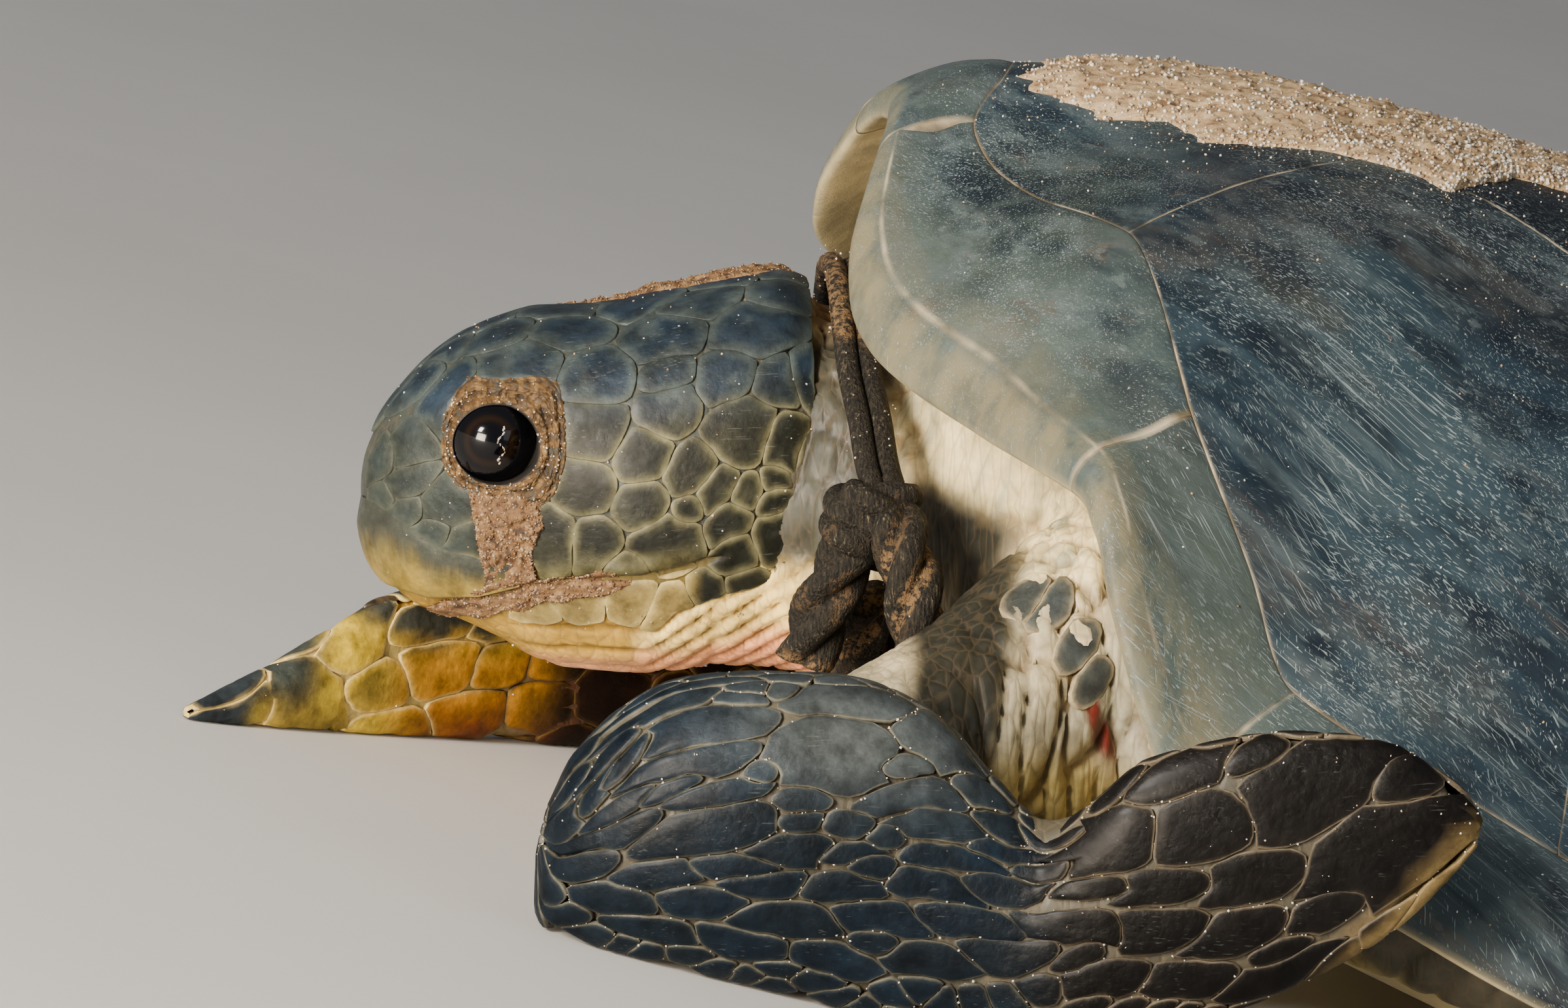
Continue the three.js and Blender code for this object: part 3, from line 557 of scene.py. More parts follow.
def dome(s, w):
    """Height of the shell over plan point (s, w): down from the crest to the seam line as one less the
    2.4th power of the share of the ray."""
    t, run = ray_at(s, w)
    seam = np.interp(t, RAY, SEAM_LINE[:, 2])
    crest = np.interp(t, RAY, CREST_LINE)
    return seam + (crest - seam) * (1 - np.clip(run, 0, 1.2) ** 2.4)


def brim(t, part, drop=0.0):
    """A place on the rim scutes: across from the seam line to the rim, falling as a power of the part."""
    seam, rim = on(SEAM_LINE, t), on(RIM_LINE, t)
    place = seam + (rim - seam) * part[..., None]
    fall = np.clip(part, 0, 1) ** np.interp(t, RAY, BRIM_BEND)
    return place[..., 0], place[..., 1], seam[..., 2] + fall * (rim[..., 2] - seam[..., 2]) - drop


def shell_swell(points):
    """Slow swellings and dents of old horn, along a line out from the middle of the body."""
    out = unit((points - np.array([-0.28, 0, 0.05])) * np.array([1, 1.6, 2.2]))
    height = 0.0016 * noise(points, 0.085, 3) + 0.0005 * noise(points, 0.016, 4, 3)
    return points + out * height[..., None]


SPINE_CORNERS = np.array([[200, 70], [292, 120], [385, 72], [472, 117], [560, 68], [642, 102],
    [722, 54]]) * MM
COSTAL_ENDS = [0.8, 3.5, 5.5, 7.5, 9.5]


def along_seam(start, end):
    return on(SEAM_LINE, np.linspace(start, end, 60))[:, :2]


def mirrored(points):
    return (points * np.array([1, -1]))[::-1]


def scute_outline(kind, index):
    """The plan outline of a vertebral or costal scute, run round its corners and the seam line."""
    if kind == "costal":
        inner = SPINE_CORNERS[max(2 * index - 1, 0):2 * index + 2][::-1]
        return chained(inner, along_seam(COSTAL_ENDS[index], COSTAL_ENDS[index + 1]))
    if index == 0:
        left = chained(along_seam(-1, COSTAL_ENDS[0]), SPINE_CORNERS[:1])
    elif index == 4:
        left = chained(SPINE_CORNERS[6:], along_seam(COSTAL_ENDS[4], 12))
    else:
        left = SPINE_CORNERS[2 * index - 2:2 * index + 1]
    return chained(left, mirrored(left))


def evenly(outline, count):
    """Points at even steps along a closed outline."""
    closed = chained(outline, outline[:1])
    run = run_of(closed)
    at = np.linspace(0, run[-1], count, endpoint=False)
    return np.stack([np.interp(at, run, closed[:, k]) for k in (0, 1)], -1)


EDGE_STEPS = np.array([0, 0.3, 0.65, 1.1, 1.8, 3.0, 5.2, 9.0]) * MM
SCUTE_THICK = 0.008


def scute(name, outline):
    """A domed scute: rings drawn in from its outline to the middle, close together at the edge, where
    the horn rolls down into the seam; the underside is the same outline a scute's thickness lower."""
    around, inner = 300, 24
    edge = evenly(outline, around)
    middle = (edge.min(0) + edge.max(0)) / 2
    reach = np.linalg.norm(edge - middle, axis=1)
    near = EDGE_STEPS[:, None] / reach
    rest = near[-1] + (1 - near[-1]) * (np.arange(1, inner) / inner)[:, None]
    inward = chained(near, rest)
    plan = edge + (middle - edge) * inward[..., None]
    depth = np.append((inward * reach).ravel(), 1.0)

    def raised(plan, lower):
        return to_model(*plan.T, dome(*plan.T) - lower)

    plan = chained(plan.reshape(-1, 2), middle[None])
    top = shell_swell(raised(plan, 0.0005 * bell(depth, 0.0009)))
    under = raised(chained(edge, (edge + middle) / 2, middle[None]), SCUTE_THICK)
    rows, start, ring = len(inward), len(top), np.arange(around)
    faces = [lattice(rows, around), fan(ring + (rows - 1) * around, start - 1),
        stacked(ring, ring + start, np.roll(ring, -1) + start, np.roll(ring, -1)),
        lattice(2, around, start=start)[:, ::-1], fan(ring + start + around, start + 2 * around, False)]
    points = chained(top, under)
    seam = chained(bell(depth, 0.00055), np.zeros(len(under)))
    worn = 0.14 * soft(points[:, 0], -0.56, -0.68) * soft(points[:, 2], 0.36, 0.28)
    worn = np.where(np.abs(outline[:, 1]).max() > 0.14, worn, -0.5)
    values = {"seam": seam, "worn": worn, "under": np.append(np.zeros(start), np.ones(len(under)))}
    return add_piece(new_mesh(name, points, faces, values), SHELL)


RIM_TOP = (0, 0.006, 0.016, 0.035, 0.07, 0.13, 0.2, 0.28, 0.36, 0.44, 0.52, 0.6, 0.68, 0.76, 0.82, 0.845,
    0.865)
RIM_LIP = [[0.885, 0.05], [0.915, 0.2], [0.95, 0.6], [0.98, 1.6], [1, 3.4], [1.01, 5.6], [1.01, 8.2], [1, 11],
    [0.98, 13.6], [0.95, 15.8], [0.9, 17.3]]
RIM_SECTION = [[part, 0] for part in RIM_TOP] + RIM_LIP + [[part, 18] for part in (0.83, 0.7, 0.55, 0.4, 0.2,
    0)]


def rim_scute(name, t, side, from_end, seam_widths, stands_for):
    """A rim scute: one section, over the top from the seam, round the lip and back beneath, carried along
    the rays t on a side, with the horn rolled down at its seams; from_end is how far each ray is from the
    scute's own ends."""
    part, drop = np.array(RIM_SECTION).T
    t, part = np.meshgrid(t, part, indexing="ij")
    drop = np.broadcast_to(drop * MM, t.shape)
    s, w, h = brim(t, part, drop)
    nuchal = name == "nuchal_scute"
    from_seam = part * (0.045 if nuchal else np.linalg.norm(on(RIM_LINE, t) - on(SEAM_LINE, t), axis=-1))
    top = soft(drop, 0.016, 0.004)
    edge = np.maximum(bell(from_end(t), seam_widths), bell(from_seam, 0.0006) * top)
    if nuchal:
        hollow, lip_line = 0, 0
        worn = 0.35 + 0.4 * soft(part, 0.86, 0.94)
    else:
        hollow = soft(t, 1.9, 0.9) * (0.0045 * bell(part - 0.42, 0.24) - 0.0018 * bell(part - 0.86, 0.1))
        worn = 0.48 * soft(t, 4.6, 1.6) + 0.2 * soft(part, 0.45, 0.75) * soft(t, 3.2, 1.8)
        worn = worn + 0.18 * bell(t - 1.9, 0.6) - 0.55 * bell(t - 0.45, 0.42) * bell(part - 0.28, 0.22)
        worn = mix_numbers(worn, 0.85, soft(part, 0.87, 0.93) * soft(t, 3.4, 2.6))
        lip_line = bell(part - 0.865, 0.012) * soft(t, 2.0, 1.5) * top
    place = shell_swell(to_model(s, side * w, h - (0.0005 * edge + hollow) * top))
    points, faces = capped(place)
    values = {"seam": np.maximum(edge, 0.6 * lip_line), "worn": worn, "under": soft(drop, 0.009, 0.0155)}
    values = {key: np.append(v.ravel(), [0, 0]) for key, v in values.items()}
    return add_piece(new_mesh(name, points, faces, values), SHELL, [stands_for])


def shell():
    """All the scutes: five on the spine, four each side of it, the rim scutes round them, and the nuchal,
    carried from its left seam over the midline to its right one."""
    for index in range(5):
        name = f"vertebral_{index + 1}"
        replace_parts(scute(name + "_scute", scute_outline("vertebral", index)), name)
    for word, side in (("left", 1), ("right", -1)):
        for index in range(4):
            name = f"{word}_costal_{index + 1}"
            outline = scute_outline("costal", index) * np.array([1, side])
            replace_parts(scute(name + "_scute", outline), name)
        for index in range(12):
            length = np.linalg.norm(np.diff(on(SEAM_LINE, np.array([index, index + 1.0])), axis=0))
            run = np.linspace(0, 1, 64 if index < 2 else 34)

            def from_end(t):
                last = index + 1 if index < 11 else np.inf
                return np.minimum(t - index, last - t) * length

            name = f"{word}_marginal_{index + 1}"
            rim_scute(name, index + run - 0.03 * np.sin(TAU * run), side, from_end, 0.0006, name)
    t = chained(np.linspace(0, -1, 22), np.linspace(-1, 0, 22)[1:])
    side = np.where(np.arange(43) < 21, 1.0, -1.0)[:, None]
    rim_scute("nuchal_scute", t, side, lambda t: -t * 0.06, 0.0007, "nuchal")


# ---- the rope

ROPE_ROUTE = np.array([[-628, -181, 52], [-634, -179, 72], [-643, -175, 98], [-653, -169, 126],
    [-663, -161, 152], [-674, -146, 173], [-684, -125, 189], [-690, -104, 205], [-697, -84, 221],
    [-702, -60, 237], [-705, -32, 249], [-706, 0, 253], [-705, 32, 249], [-701, 62, 236], [-695, 86, 210],
    [-688, 97, 178], [-682, 97, 145], [-674, 86, 111], [-667, 62, 83], [-662, 32, 68], [-660, 0, 62],
    [-661, -32, 67], [-664, -62, 81], [-669, -88, 104], [-674, -106, 131]]) * MM
ROPE_DIAMETER = 0.027


def smooth_path(points, count):
    """Points at even steps of a cubic line through the given ones."""
    run = run_of(points)
    fine = np.linspace(0, run[-1], count * 4)
    slope = np.gradient(points, run, axis=0)
    i = np.clip(np.searchsorted(run, fine) - 1, 0, len(run) - 2)
    width = (run[i + 1] - run[i])[:, None]
    u = (fine[:, None] - run[i][:, None]) / width
    line = (points[i] * (1 + 2 * u) * (1 - u) ** 2 + points[i + 1] * u * u * (3 - 2 * u) + width
        * (slope[i] * u * (1 - u) ** 2 - slope[i + 1] * u * u * (1 - u)))
    run = run_of(line)
    even = np.linspace(0, run[-1], count)
    return np.stack([np.interp(even, run, line[:, k]) for k in range(3)], -1)


def laid_rope(line, radius, around=54, lay=0.083, reference=(1, 0, 0), parted=0.0):
    """Three strands laid together along a line: the section is the outline of three touching rounds, and
    turns once in each lay; fine ridges of yarn run the other way over it. Where parted is one, the section
    is two thinner rounds side by side that don't turn."""
    run = run_of(line)[:, None]
    ahead = unit(np.gradient(line, axis=0))
    first = unit(np.array(reference) - ahead * (ahead @ np.array(reference))[:, None])
    second = np.cross(ahead, first)
    angle = all_round(around)[None]
    turn = angle - TAU * run / lay
    lobe = (turn + TAU / 6) % (TAU / 3) - TAU / 6
    three = 0.46 * np.cos(lobe) + np.sqrt(0.54 ** 2 - (0.46 * np.sin(lobe)) ** 2)
    two = 0.4 * np.abs(np.cos(angle)) + np.sqrt(0.425 ** 2 - (0.4 * np.sin(angle)) ** 2)
    out = three * (1 - parted) + 0.86 * two * parted
    yarn = 0.026 * np.cos(24 * (angle + TAU * run / (lay * 2.2) * (1 - parted)))
    crest = np.clip((three - 0.82) / 0.18, 0, 1) * (1 - parted) + 0.5 * parted
    reach = radius * (out + yarn * np.clip(crest + 0.2, 0, 1))
    ring = line[:, None] + reach[..., None] * (first[:, None] * np.cos(angle)[..., None] + second[:, None]
        * np.sin(angle)[..., None])
    return *capped(ring, line[[0, -1]]), {"crest": np.append(crest.ravel(), [0, 0])}


def rope():
    """The rope as one cord, with its knot and the short cut end below it."""
    line = smooth_path(ROPE_ROUTE, 520)
    points, faces, values = laid_rope(line, ROPE_DIAMETER / 2, parted=soft(line[:, 2], 0.165, 0.185)[:, None])
    groove = soft(values["crest"], 0.42, 0.05) + 0.25 * soft(noise(points, 0.03, 6), 0.1, 0.5)
    low = groove * soft(noise(points, 0.02, 7, 3), -0.45, 0.1) * soft(points[:, 2], 0.2, 0.14)
    top = points[:, 2] + 0.01 * noise(points, 0.01, 9)
    values["sandy"] = np.maximum(low, soft(top, 0.226, 0.238))
    cord = add_piece(new_mesh("neck_rope_cord", points, faces, values), ROPE, ["neck_rope"])
    ball = knot_ball()


def knot_ball():
    """A half hitch drawn tight: two wound turns of the rope about an upright axis, and its cut end."""
    turn = np.linspace(0, 2.2 * TAU, 200)
    wide = 0.0105 + 0.001 * np.cos(3 * turn)
    wound = stacked(-0.684 + wide * np.cos(turn), -0.135 + 0.85 * wide * np.sin(turn), 0.156 + 0.024 * turn
        / turn[-1])
    stub = smooth_path(np.array([[-0.684, -0.136, 0.168], [-0.69, -0.135, 0.146], [-0.694, -0.132, 0.122],
        [-0.695, -0.129, 0.102]]), 60)
    points, faces, values = joined([laid_rope(wound, 0.0115, 30, 0.06, (0, 0, 1)),
        laid_rope(stub, 0.0135, 48, 0.085)])
    loose = 0.4 * soft(noise(points, 0.012, 8, 2), 0.15, 0.45)
    values["sandy"] = np.maximum(loose, soft(points[:, 2], 0.108, 0.102))
    return add_piece(new_mesh("rope_knot_ball", points, faces, values), ROPE, ["rope_knot"])


rope()

# ---- surfaces of the flesh


class Hide:
    """A sheet of skin as a table of places: rows run along it and columns once round, evenly by length.

    A place on it is (along, round): metres along the rows, and a share of the way round."""

    def __init__(self, points, along):
        """points is rows by columns round; each row is drawn again at even steps of its own length."""
        self.columns = 512
        loop = np.concatenate([points, points[:, :1]], axis=1)
        runs = [run_of(row) for row in loop]
        self.girth = np.array([run[-1] for run in runs])
        share = np.arange(self.columns) / self.columns
        self.table = np.array([np.stack([np.interp(share * run[-1], run, row[:, k]) for k in range(3)], -1)
            for row, run in zip(loop, runs)])
        self.along = along
        self.normals = facing_out(self.table)

    def look(self, table, along, round_):
        i = np.interp(along, self.along, np.arange(len(self.along)))
        j = (round_ % 1) * self.columns
        low, left = np.floor(i).astype(int), np.floor(j).astype(int)
        low = np.minimum(low, len(self.along) - 2)
        p, q = (i - low)[..., None], (j - left)[..., None]
        left, right = left % self.columns, (left + 1) % self.columns
        return ((table[low, left] * (1 - q) + table[low, right] * q) * (1 - p) + (table[low + 1, left]
            * (1 - q) + table[low + 1, right] * q) * p)

    def at(self, along, round_, lift=0.0):
        return (self.look(self.table, along, round_) + unit(self.look(self.normals, along, round_))
            * np.asarray(lift)[..., None])

    def girth_at(self, along):
        return np.interp(along, self.along, self.girth)


def tube(stations, rows, around, inset=0.0):
    """A limb: ovals along a level path; stations are [x, y, z, heading, half width, half height], and the
    cosine and sine of the angle round are raised to the limb power."""
    stations = np.array(stations, float)
    run = run_of(stations[:, :3])
    even = np.linspace(0, run[-1], rows)
    x, y, z, heading, wide, high = (keyed(stacked(run, stations[:, k]))(even)[:, None] for k in range(6))
    angle = all_round(around)
    turn = np.radians(heading)
    across = np.maximum(wide - inset, 0.4) * squared(np.cos(angle), LIMB_POWER)
    rise = np.maximum(high - inset, 0.4) * squared(np.sin(angle), LIMB_POWER)
    return stacked(x - np.sin(turn) * across, y + np.cos(turn) * across, z + rise) * MM, even * MM


def limb_hide(stations, rows=300, around=400, inset=0.0):
    """The hide of a limb, kept off the floor."""
    place, along = tube(stations, rows, around, inset)
    return Hide(floored(place), along)


def head_section(along, angle):
    """The head's section at places along it: a height, and how far out, at an angle round."""
    level = head_level(along)
    c, d = np.cos(angle), np.sin(angle)
    half = np.where(d > 0, CROWN(along) - level, level - THROAT(along))
    return HEAD_OUT(along) * squared(c, HEAD_POWER), level + half * squared(d, LIMB_POWER)


LIMB_POWER = 0.9
LEFT_FLIPPER = [[-803, -312, 40, 0, 8, 12], [-798, -312, 40, 0, 19, 34], [-785, -313, 47, 0, 29, 48],
    [-764, -316, 55, 0, 35, 59], [-730, -321, 61, 0, 38, 65], [-690, -326, 65, 0, 37, 68],
    [-660, -331, 62, -5, 33, 65], [-632, -341, 54, -10, 25, 55], [-606, -352, 48, -14, 18, 48],
    [-592, -359, 55, -12, 16, 56], [-576, -366, 69, -12, 13.5, 65], [-535, -376, 95, -8, 11.5, 62],
    [-505, -381, 109, -8, 10, 56], [-480, -385, 121, -8, 9, 46], [-462, -388, 128, -8, 7.5, 33],
    [-447, -390, 137, -8, 5.5, 17], [-440, -391, 141, -8, 3, 6]]
LEFT_ARM = [[-520, -135, 134, 219, 54, 92], [-560, -168, 132, 219, 54, 96], [-600, -201, 112, 219, 52, 88],
    [-645, -238, 84, 219, 46, 68], [-695, -280, 62, 219, 38, 57], [-735, -312, 52, 219, 26, 44]]
RIGHT_ARM = [[-520, 135, 132, 140, 54, 88], [-575, 180, 116, 143, 52, 80], [-625, 203, 84, 165, 47, 62],
    [-665, 196, 64, 200, 40, 54], [-700, 165, 54, 219, 20, 40]]
RIGHT_FLIPPER = [[-640, 205, 60, 205, 22, 46], [-665, 190, 56, 213, 30, 56], [-695, 165, 52, 219, 27, 55],
    [-732, 132, 46, 222, 20, 50], [-770, 98, 41, 222, 14, 44], [-805, 67, 37, 221, 11, 38.5],
    [-838, 38, 34, 220, 9.5, 35], [-862, 18, 31, 219, 9, 33], [-886, -2, 22, 219, 8, 24.5],
    [-910, -21, 13, 217, 6.5, 15], [-930, -35, 6, 215, 5, 8], [-943, -44, 2.5, 215, 2.5, 3]]
HIND_FLIPPER = [[20, 150, 62, -20, 60, 44], [75, 172, 48, -28, 62, 40], [125, 200, 34, -32, 60, 32],
    [175, 232, 20, -34, 58, 20], [225, 265, 12, -34, 62, 13], [270, 295, 8, -34, 60, 9],
    [305, 318, 6, -34, 46, 6.5], [328, 333, 5, -34, 26, 5], [337, 339, 4, -34, 8, 3]]
TAIL = [[110, 0, 62, 0, 42, 34], [165, 0, 48, 0, 32, 27], [215, 0, 32, 0, 23, 22], [255, 0, 18, 0, 15, 17],
    [280, 0, 9, 0, 8, 9], [288, 0, 6, 0, 3, 4]]
NECK = [[-736, 0, 152, 0, 60, 72], [-712, 0, 154, 0, 70, 82], [-696, 0, 157, 0, 78, 82],
    [-670, 0, 160, 0, 88, 86], [-640, 0, 164, 0, 100, 92], [-600, 0, 166, 0, 112, 98],
    [-560, 0, 164, 0, 110, 96]]


def hind_stations(side):
    return [[x, -side * y, z, side * turn, wide, high] for x, y, z, turn, wide, high in HIND_FLIPPER]


HEAD_BACK = np.array([-0.712, 0, 0.15])
HEAD_PITCH = np.radians(13)
HEAD_POWER = 0.82
HEAD_START, HEAD_TIP = -14, 184
ALONG = np.array([-np.cos(HEAD_PITCH), 0, -np.sin(HEAD_PITCH)])
OUT = np.array([0, -1, 0])
UP = np.array([-np.sin(HEAD_PITCH), 0, np.cos(HEAD_PITCH)])
CROWN = keyed([[-14, 94], [0, 98], [10, 97], [35, 92], [56, 87], [72, 83], [90, 81.5], [106, 81], [117, 78],
    [135, 71], [150, 61], [163, 48], [173, 35], [179, 23], [184, 8]])
THROAT = keyed([[-14, -68], [10, -74], [34, -76], [60, -78], [85, -77], [100, -75], [112, -70], [128, -62],
    [145, -55], [156, -52], [164, -48], [172, -40], [178, -32], [182, -20], [184, -4]])
HEAD_OUT = keyed([[-14, 62], [0, 68], [25, 71], [55, 69], [85, 63], [110, 56], [130, 50], [150, 41],
    [165, 31], [175, 20], [181, 11], [184, 4]])
EYE = np.array([127, 34.5, 31])
MOUTH = np.array([[190, -41], [168, -41], [152, -44], [131, -41], [112, -34], [90, -29], [62, -27], [40, -21],
    [28, -17]])
BEAK_TOP = np.array([[104, -24], [112, -22], [131, -22], [150, -18], [166, -8], [176, -2], [192, 0]])


def on_head(along, out, up):
    """A place given in the head's own millimetres: along to the beak, out to the left, and up."""
    return HEAD_BACK + (np.asarray(along)[..., None] * ALONG + np.asarray(out)[..., None] * OUT
        + np.asarray(up)[..., None] * UP) * MM


def head_axes(points):
    """The head's own millimetres of points in the model: along, out and up."""
    away = (points - HEAD_BACK) / MM
    return away @ ALONG, away @ OUT, away @ UP


def head_level(along):
    return (CROWN(along) + THROAT(along)) / 2


def head_out(along, up):
    """Half the head's width at a height: the section's two half ovals, squared up by their powers."""
    level = head_level(along)
    half = np.where(up > level, CROWN(along) - level, level - THROAT(along))
    d = np.clip(np.abs(up - level) / half, 0, 1) ** (1 / LIMB_POWER)
    return HEAD_OUT(along) * np.sqrt(np.clip(1 - d * d, 0, 1)) ** HEAD_POWER


def from_line(along, up, line):
    """Height of a place in side view above a line of [along, up] points."""
    return up - np.interp(along, *line_up(line))


def face_relief(along, out, up):
    """Millimetres that the face stands out from its plain form: a groove along the mouth, a brow over the
    eye, a hollow before it and a full cheek behind the mouth."""
    mouth = from_line(along, up, MOUTH)
    reach = soft(along, 24, 34)
    groove = -4.2 * bell(mouth, 1.5) * reach - 1.0 * bell(mouth + 3.5, 2.5) * reach
    lip = 1.3 * bell(mouth - 4.0, 3.0) * reach
    away = np.hypot(along - EYE[0], up - EYE[2])
    brow = 1.6 * bell(away - 24, 6) * soft(up, EYE[2] - 4, EYE[2] + 12)
    hollow = -1.8 * bell(along - 152, 8) * bell(up - 22, 9)
    cheek = 2.0 * bell(along - 62, 30) * bell(up + 4, 26)
    nostril = -3.5 * bell(np.hypot(along - 172, up - 13), 2.6) * bell(np.abs(out) - 12, 6)
    return groove + lip + brow + hollow + cheek + nostril


def head_surface(rows=260, around=520, inset=0.0, socket=0.0):
    """Places over the head from the nape to the beak's tip, columns starting at the crown and running down
    the left side first, with the face's relief, set in by a depth in millimetres and further under the
    eye."""
    along = HEAD_START + (HEAD_TIP - HEAD_START) * (1 - (1 - np.linspace(0, 1, rows)) ** 1.25)
    a = along[:, None] + np.zeros(around)
    out, up = head_section(a, TAU / 4 - all_round(around))
    plain = on_head(a, out, up)
    pit = socket * soft(from_lid_centre(a, up)[0], 23, 19.5)
    lift = (face_relief(a, out, up) - inset - pit) * MM
    return plain + facing_out(plain) * lift[..., None], along


# ---- scales


NEIGHBOURS = 18


def cell_reach(along, round_, girth, stretch, turn, weight, spokes, sharp):
    """How far each scale runs out along its spokes before it meets a neighbour's, on a flat chart that
    closes on itself round the limb.

    Each scale has its own measure of distance: plain distance after a squeeze by stretch along turn. The
    edge is where a scale's own measure equals a neighbour's, and a soft least of those rounds the corners."""
    count = len(along)
    c, s = np.cos(turn), np.sin(turn)
    long, wide = 1 / (weight * np.sqrt(stretch)), np.sqrt(stretch) / weight
    measure = np.empty((count, 2, 2))
    measure[:, 0, 0] = (c * long) ** 2 + (s * wide) ** 2
    measure[:, 1, 1] = (s * long) ** 2 + (c * wide) ** 2
    measure[:, 0, 1] = measure[:, 1, 0] = c * s * (long ** 2 - wide ** 2)
    angle = all_round(spokes)
    x, y = np.cos(angle) / long[:, None], np.sin(angle) / wide[:, None]
    c, s = c[:, None], s[:, None]
    ray = unit(stacked(x * c - y * s, x * s + y * c))
    near = min(NEIGHBOURS, count - 1)
    closest = np.empty((count, near), int)
    away = np.empty((count, near, 2))
    for start in range(0, count, 800):
        block = slice(start, start + 800)
        across = (round_ - round_[block, None] + 0.5) % 1 - 0.5
        gap = stacked(along - along[block, None], across * (girth[block, None] + girth) / 2)
        far = np.einsum("ije,jef,ijf->ij", gap, measure, gap)
        far[np.arange(len(far)), np.arange(len(far)) + start] = np.inf
        closest[block] = np.argpartition(far, near - 1, axis=1)[:, :near]
        away[block] = np.take_along_axis(gap, closest[block][..., None], axis=1)
    own = np.einsum("nse,nef,nsf->ns", ray, measure, ray)
    theirs = np.einsum("nse,nkef,nsf->nks", ray, measure[closest], ray)
    b = np.einsum("nke,nkef,nsf->nks", away, measure[closest], ray)
    square = np.einsum("nke,nkef,nkf->nk", away, measure[closest], away)[..., None]
    root = b * b + (own[:, None] - theirs) * square
    below = b + np.sqrt(np.maximum(root, 0))
    meet = np.where((root > 0) & (below > 1e-12), square / np.maximum(below, 1e-12), np.inf)
    crowd = np.sum(np.minimum(1 / meet, 1e5) ** sharp, axis=1)
    return np.maximum(crowd, 1e-99) ** (-1 / sharp), ray, 1 / np.sqrt(own)


def scales(name, hide, seeds, finish, tint, atlas, rings, spokes=20, gap=0.0006, height=0.0012, sink=0.0018,
    sharp=9.0, allowed=None, wave=0.0006, patch=None, roomy=1.7):
    """Scales over a hide as one mesh, each a low plate over its own cell of the chart; gives back the
    places along their edges.

    seeds are [along, round, stretch, turn in degrees, half size] rows. rings are shares of the way out,
    from the edge in; the height falls as one less that share to the eighth power. tint gives the colours
    from places, the distance from the edge, and a number for each scale."""
    along, round_ = seeds[:, 0], (seeds[:, 1] + 0.5) % 1 - 0.5
    girth = hide.girth_at(along)
    reach, ray, own = cell_reach(along, round_, girth, seeds[:, 2], np.radians(seeds[:, 3]), seeds[:, 4],
        spokes, sharp)
    reach = np.minimum(reach - gap / 2, roomy * own)
    if allowed is not None:
        low, high = np.zeros_like(reach), reach.copy()
        middle = high
        for _ in range(11):
            inside = allowed(along[:, None] + middle * ray[..., 0], round_[:, None] + middle * ray[..., 1]
                / girth[:, None])
            low, high = np.where(inside, middle, low), np.where(inside, high, middle)
            middle = (low + high) / 2
        reach = low
    keep = (np.percentile(reach, 30, axis=1) > gap) & (hide.at(along, round_)[:, 2] > 0.002)
    along, round_, girth, reach, ray = (some[keep] for some in (along, round_, girth, reach, ray))
    count = len(along)
    share = np.asarray(rings)[:, None, None]
    step = reach * share
    around = girth[:, None]
    x, r = along[:, None] + step * ray[..., 0], round_[:, None] + step * ray[..., 1] / around
    where = stacked(x, r * around, np.full_like(x, 0.37))
    shift = wave * share ** 2
    x = x + shift * noise(where, 0.006, 21)
    r = r + shift * noise(where, 0.006, 22) / around
    mean = reach.mean(axis=1)
    size = np.minimum(1, mean / 0.006)
    swell = 0.25 * noise(where, 0.012, 23, 2) * (share < 0.97)
    top = hide.at(x, r, height * size[:, None] * (1 - share ** 8 + swell))
    skirt = hide.at(x[:1], r[:1], np.full_like(x[:1], -sink))
    middle = hide.at(along, round_, height * size)

    def by_scale(rows, hub):
        """Rings of values, the edge's twice, and one for the middle, put scale by scale."""
        rows = chained(rows[:1], rows)
        return np.concatenate([np.moveaxis(rows, 1, 0).reshape(count, -1, *rows.shape[3:]), hub[:, None]], 1)

    points = by_scale(top, middle)
    points[:, :spokes] = skirt[0]
    each = points.shape[1]
    hub = fan(np.arange(spokes) + each - 1 - spokes, each - 1)
    offset = (np.arange(count) * each)[:, None, None]
    faces = [(one + offset).reshape(-1, one.shape[1]) for one in (lattice(len(rings) + 1, spokes), hub)]
    a, b, c = (points[:, hub[:, k]] for k in range(3))
    if np.einsum("nij,nj->n", np.cross(b - a, c - a), hide.look(hide.normals, along, round_)).sum() < 0:
        faces = [face[:, ::-1] for face in faces]
    edge = by_scale(reach * (1 - share), mean)
    number = np.repeat(rng.random(count)[:, None], each, axis=1)
    uv = stacked(by_scale(x, along) - along[:, None], (by_scale(r, round_) - round_[:, None]) * around)
    if patch:
        uv *= patch / np.maximum(2 * mean, 1e-4)[:, None, None]
    root = stacked(along, (round_ % 1) * girth)[:, None]
    uv = np.array(atlas[:2]) + (root + uv) * atlas[2]
    mesh = new_mesh(name, points.reshape(-1, 3), faces, None, tint(points, edge, number), uv, False)
    add_piece(mesh, finish)
    return top[0].reshape(-1, 3)


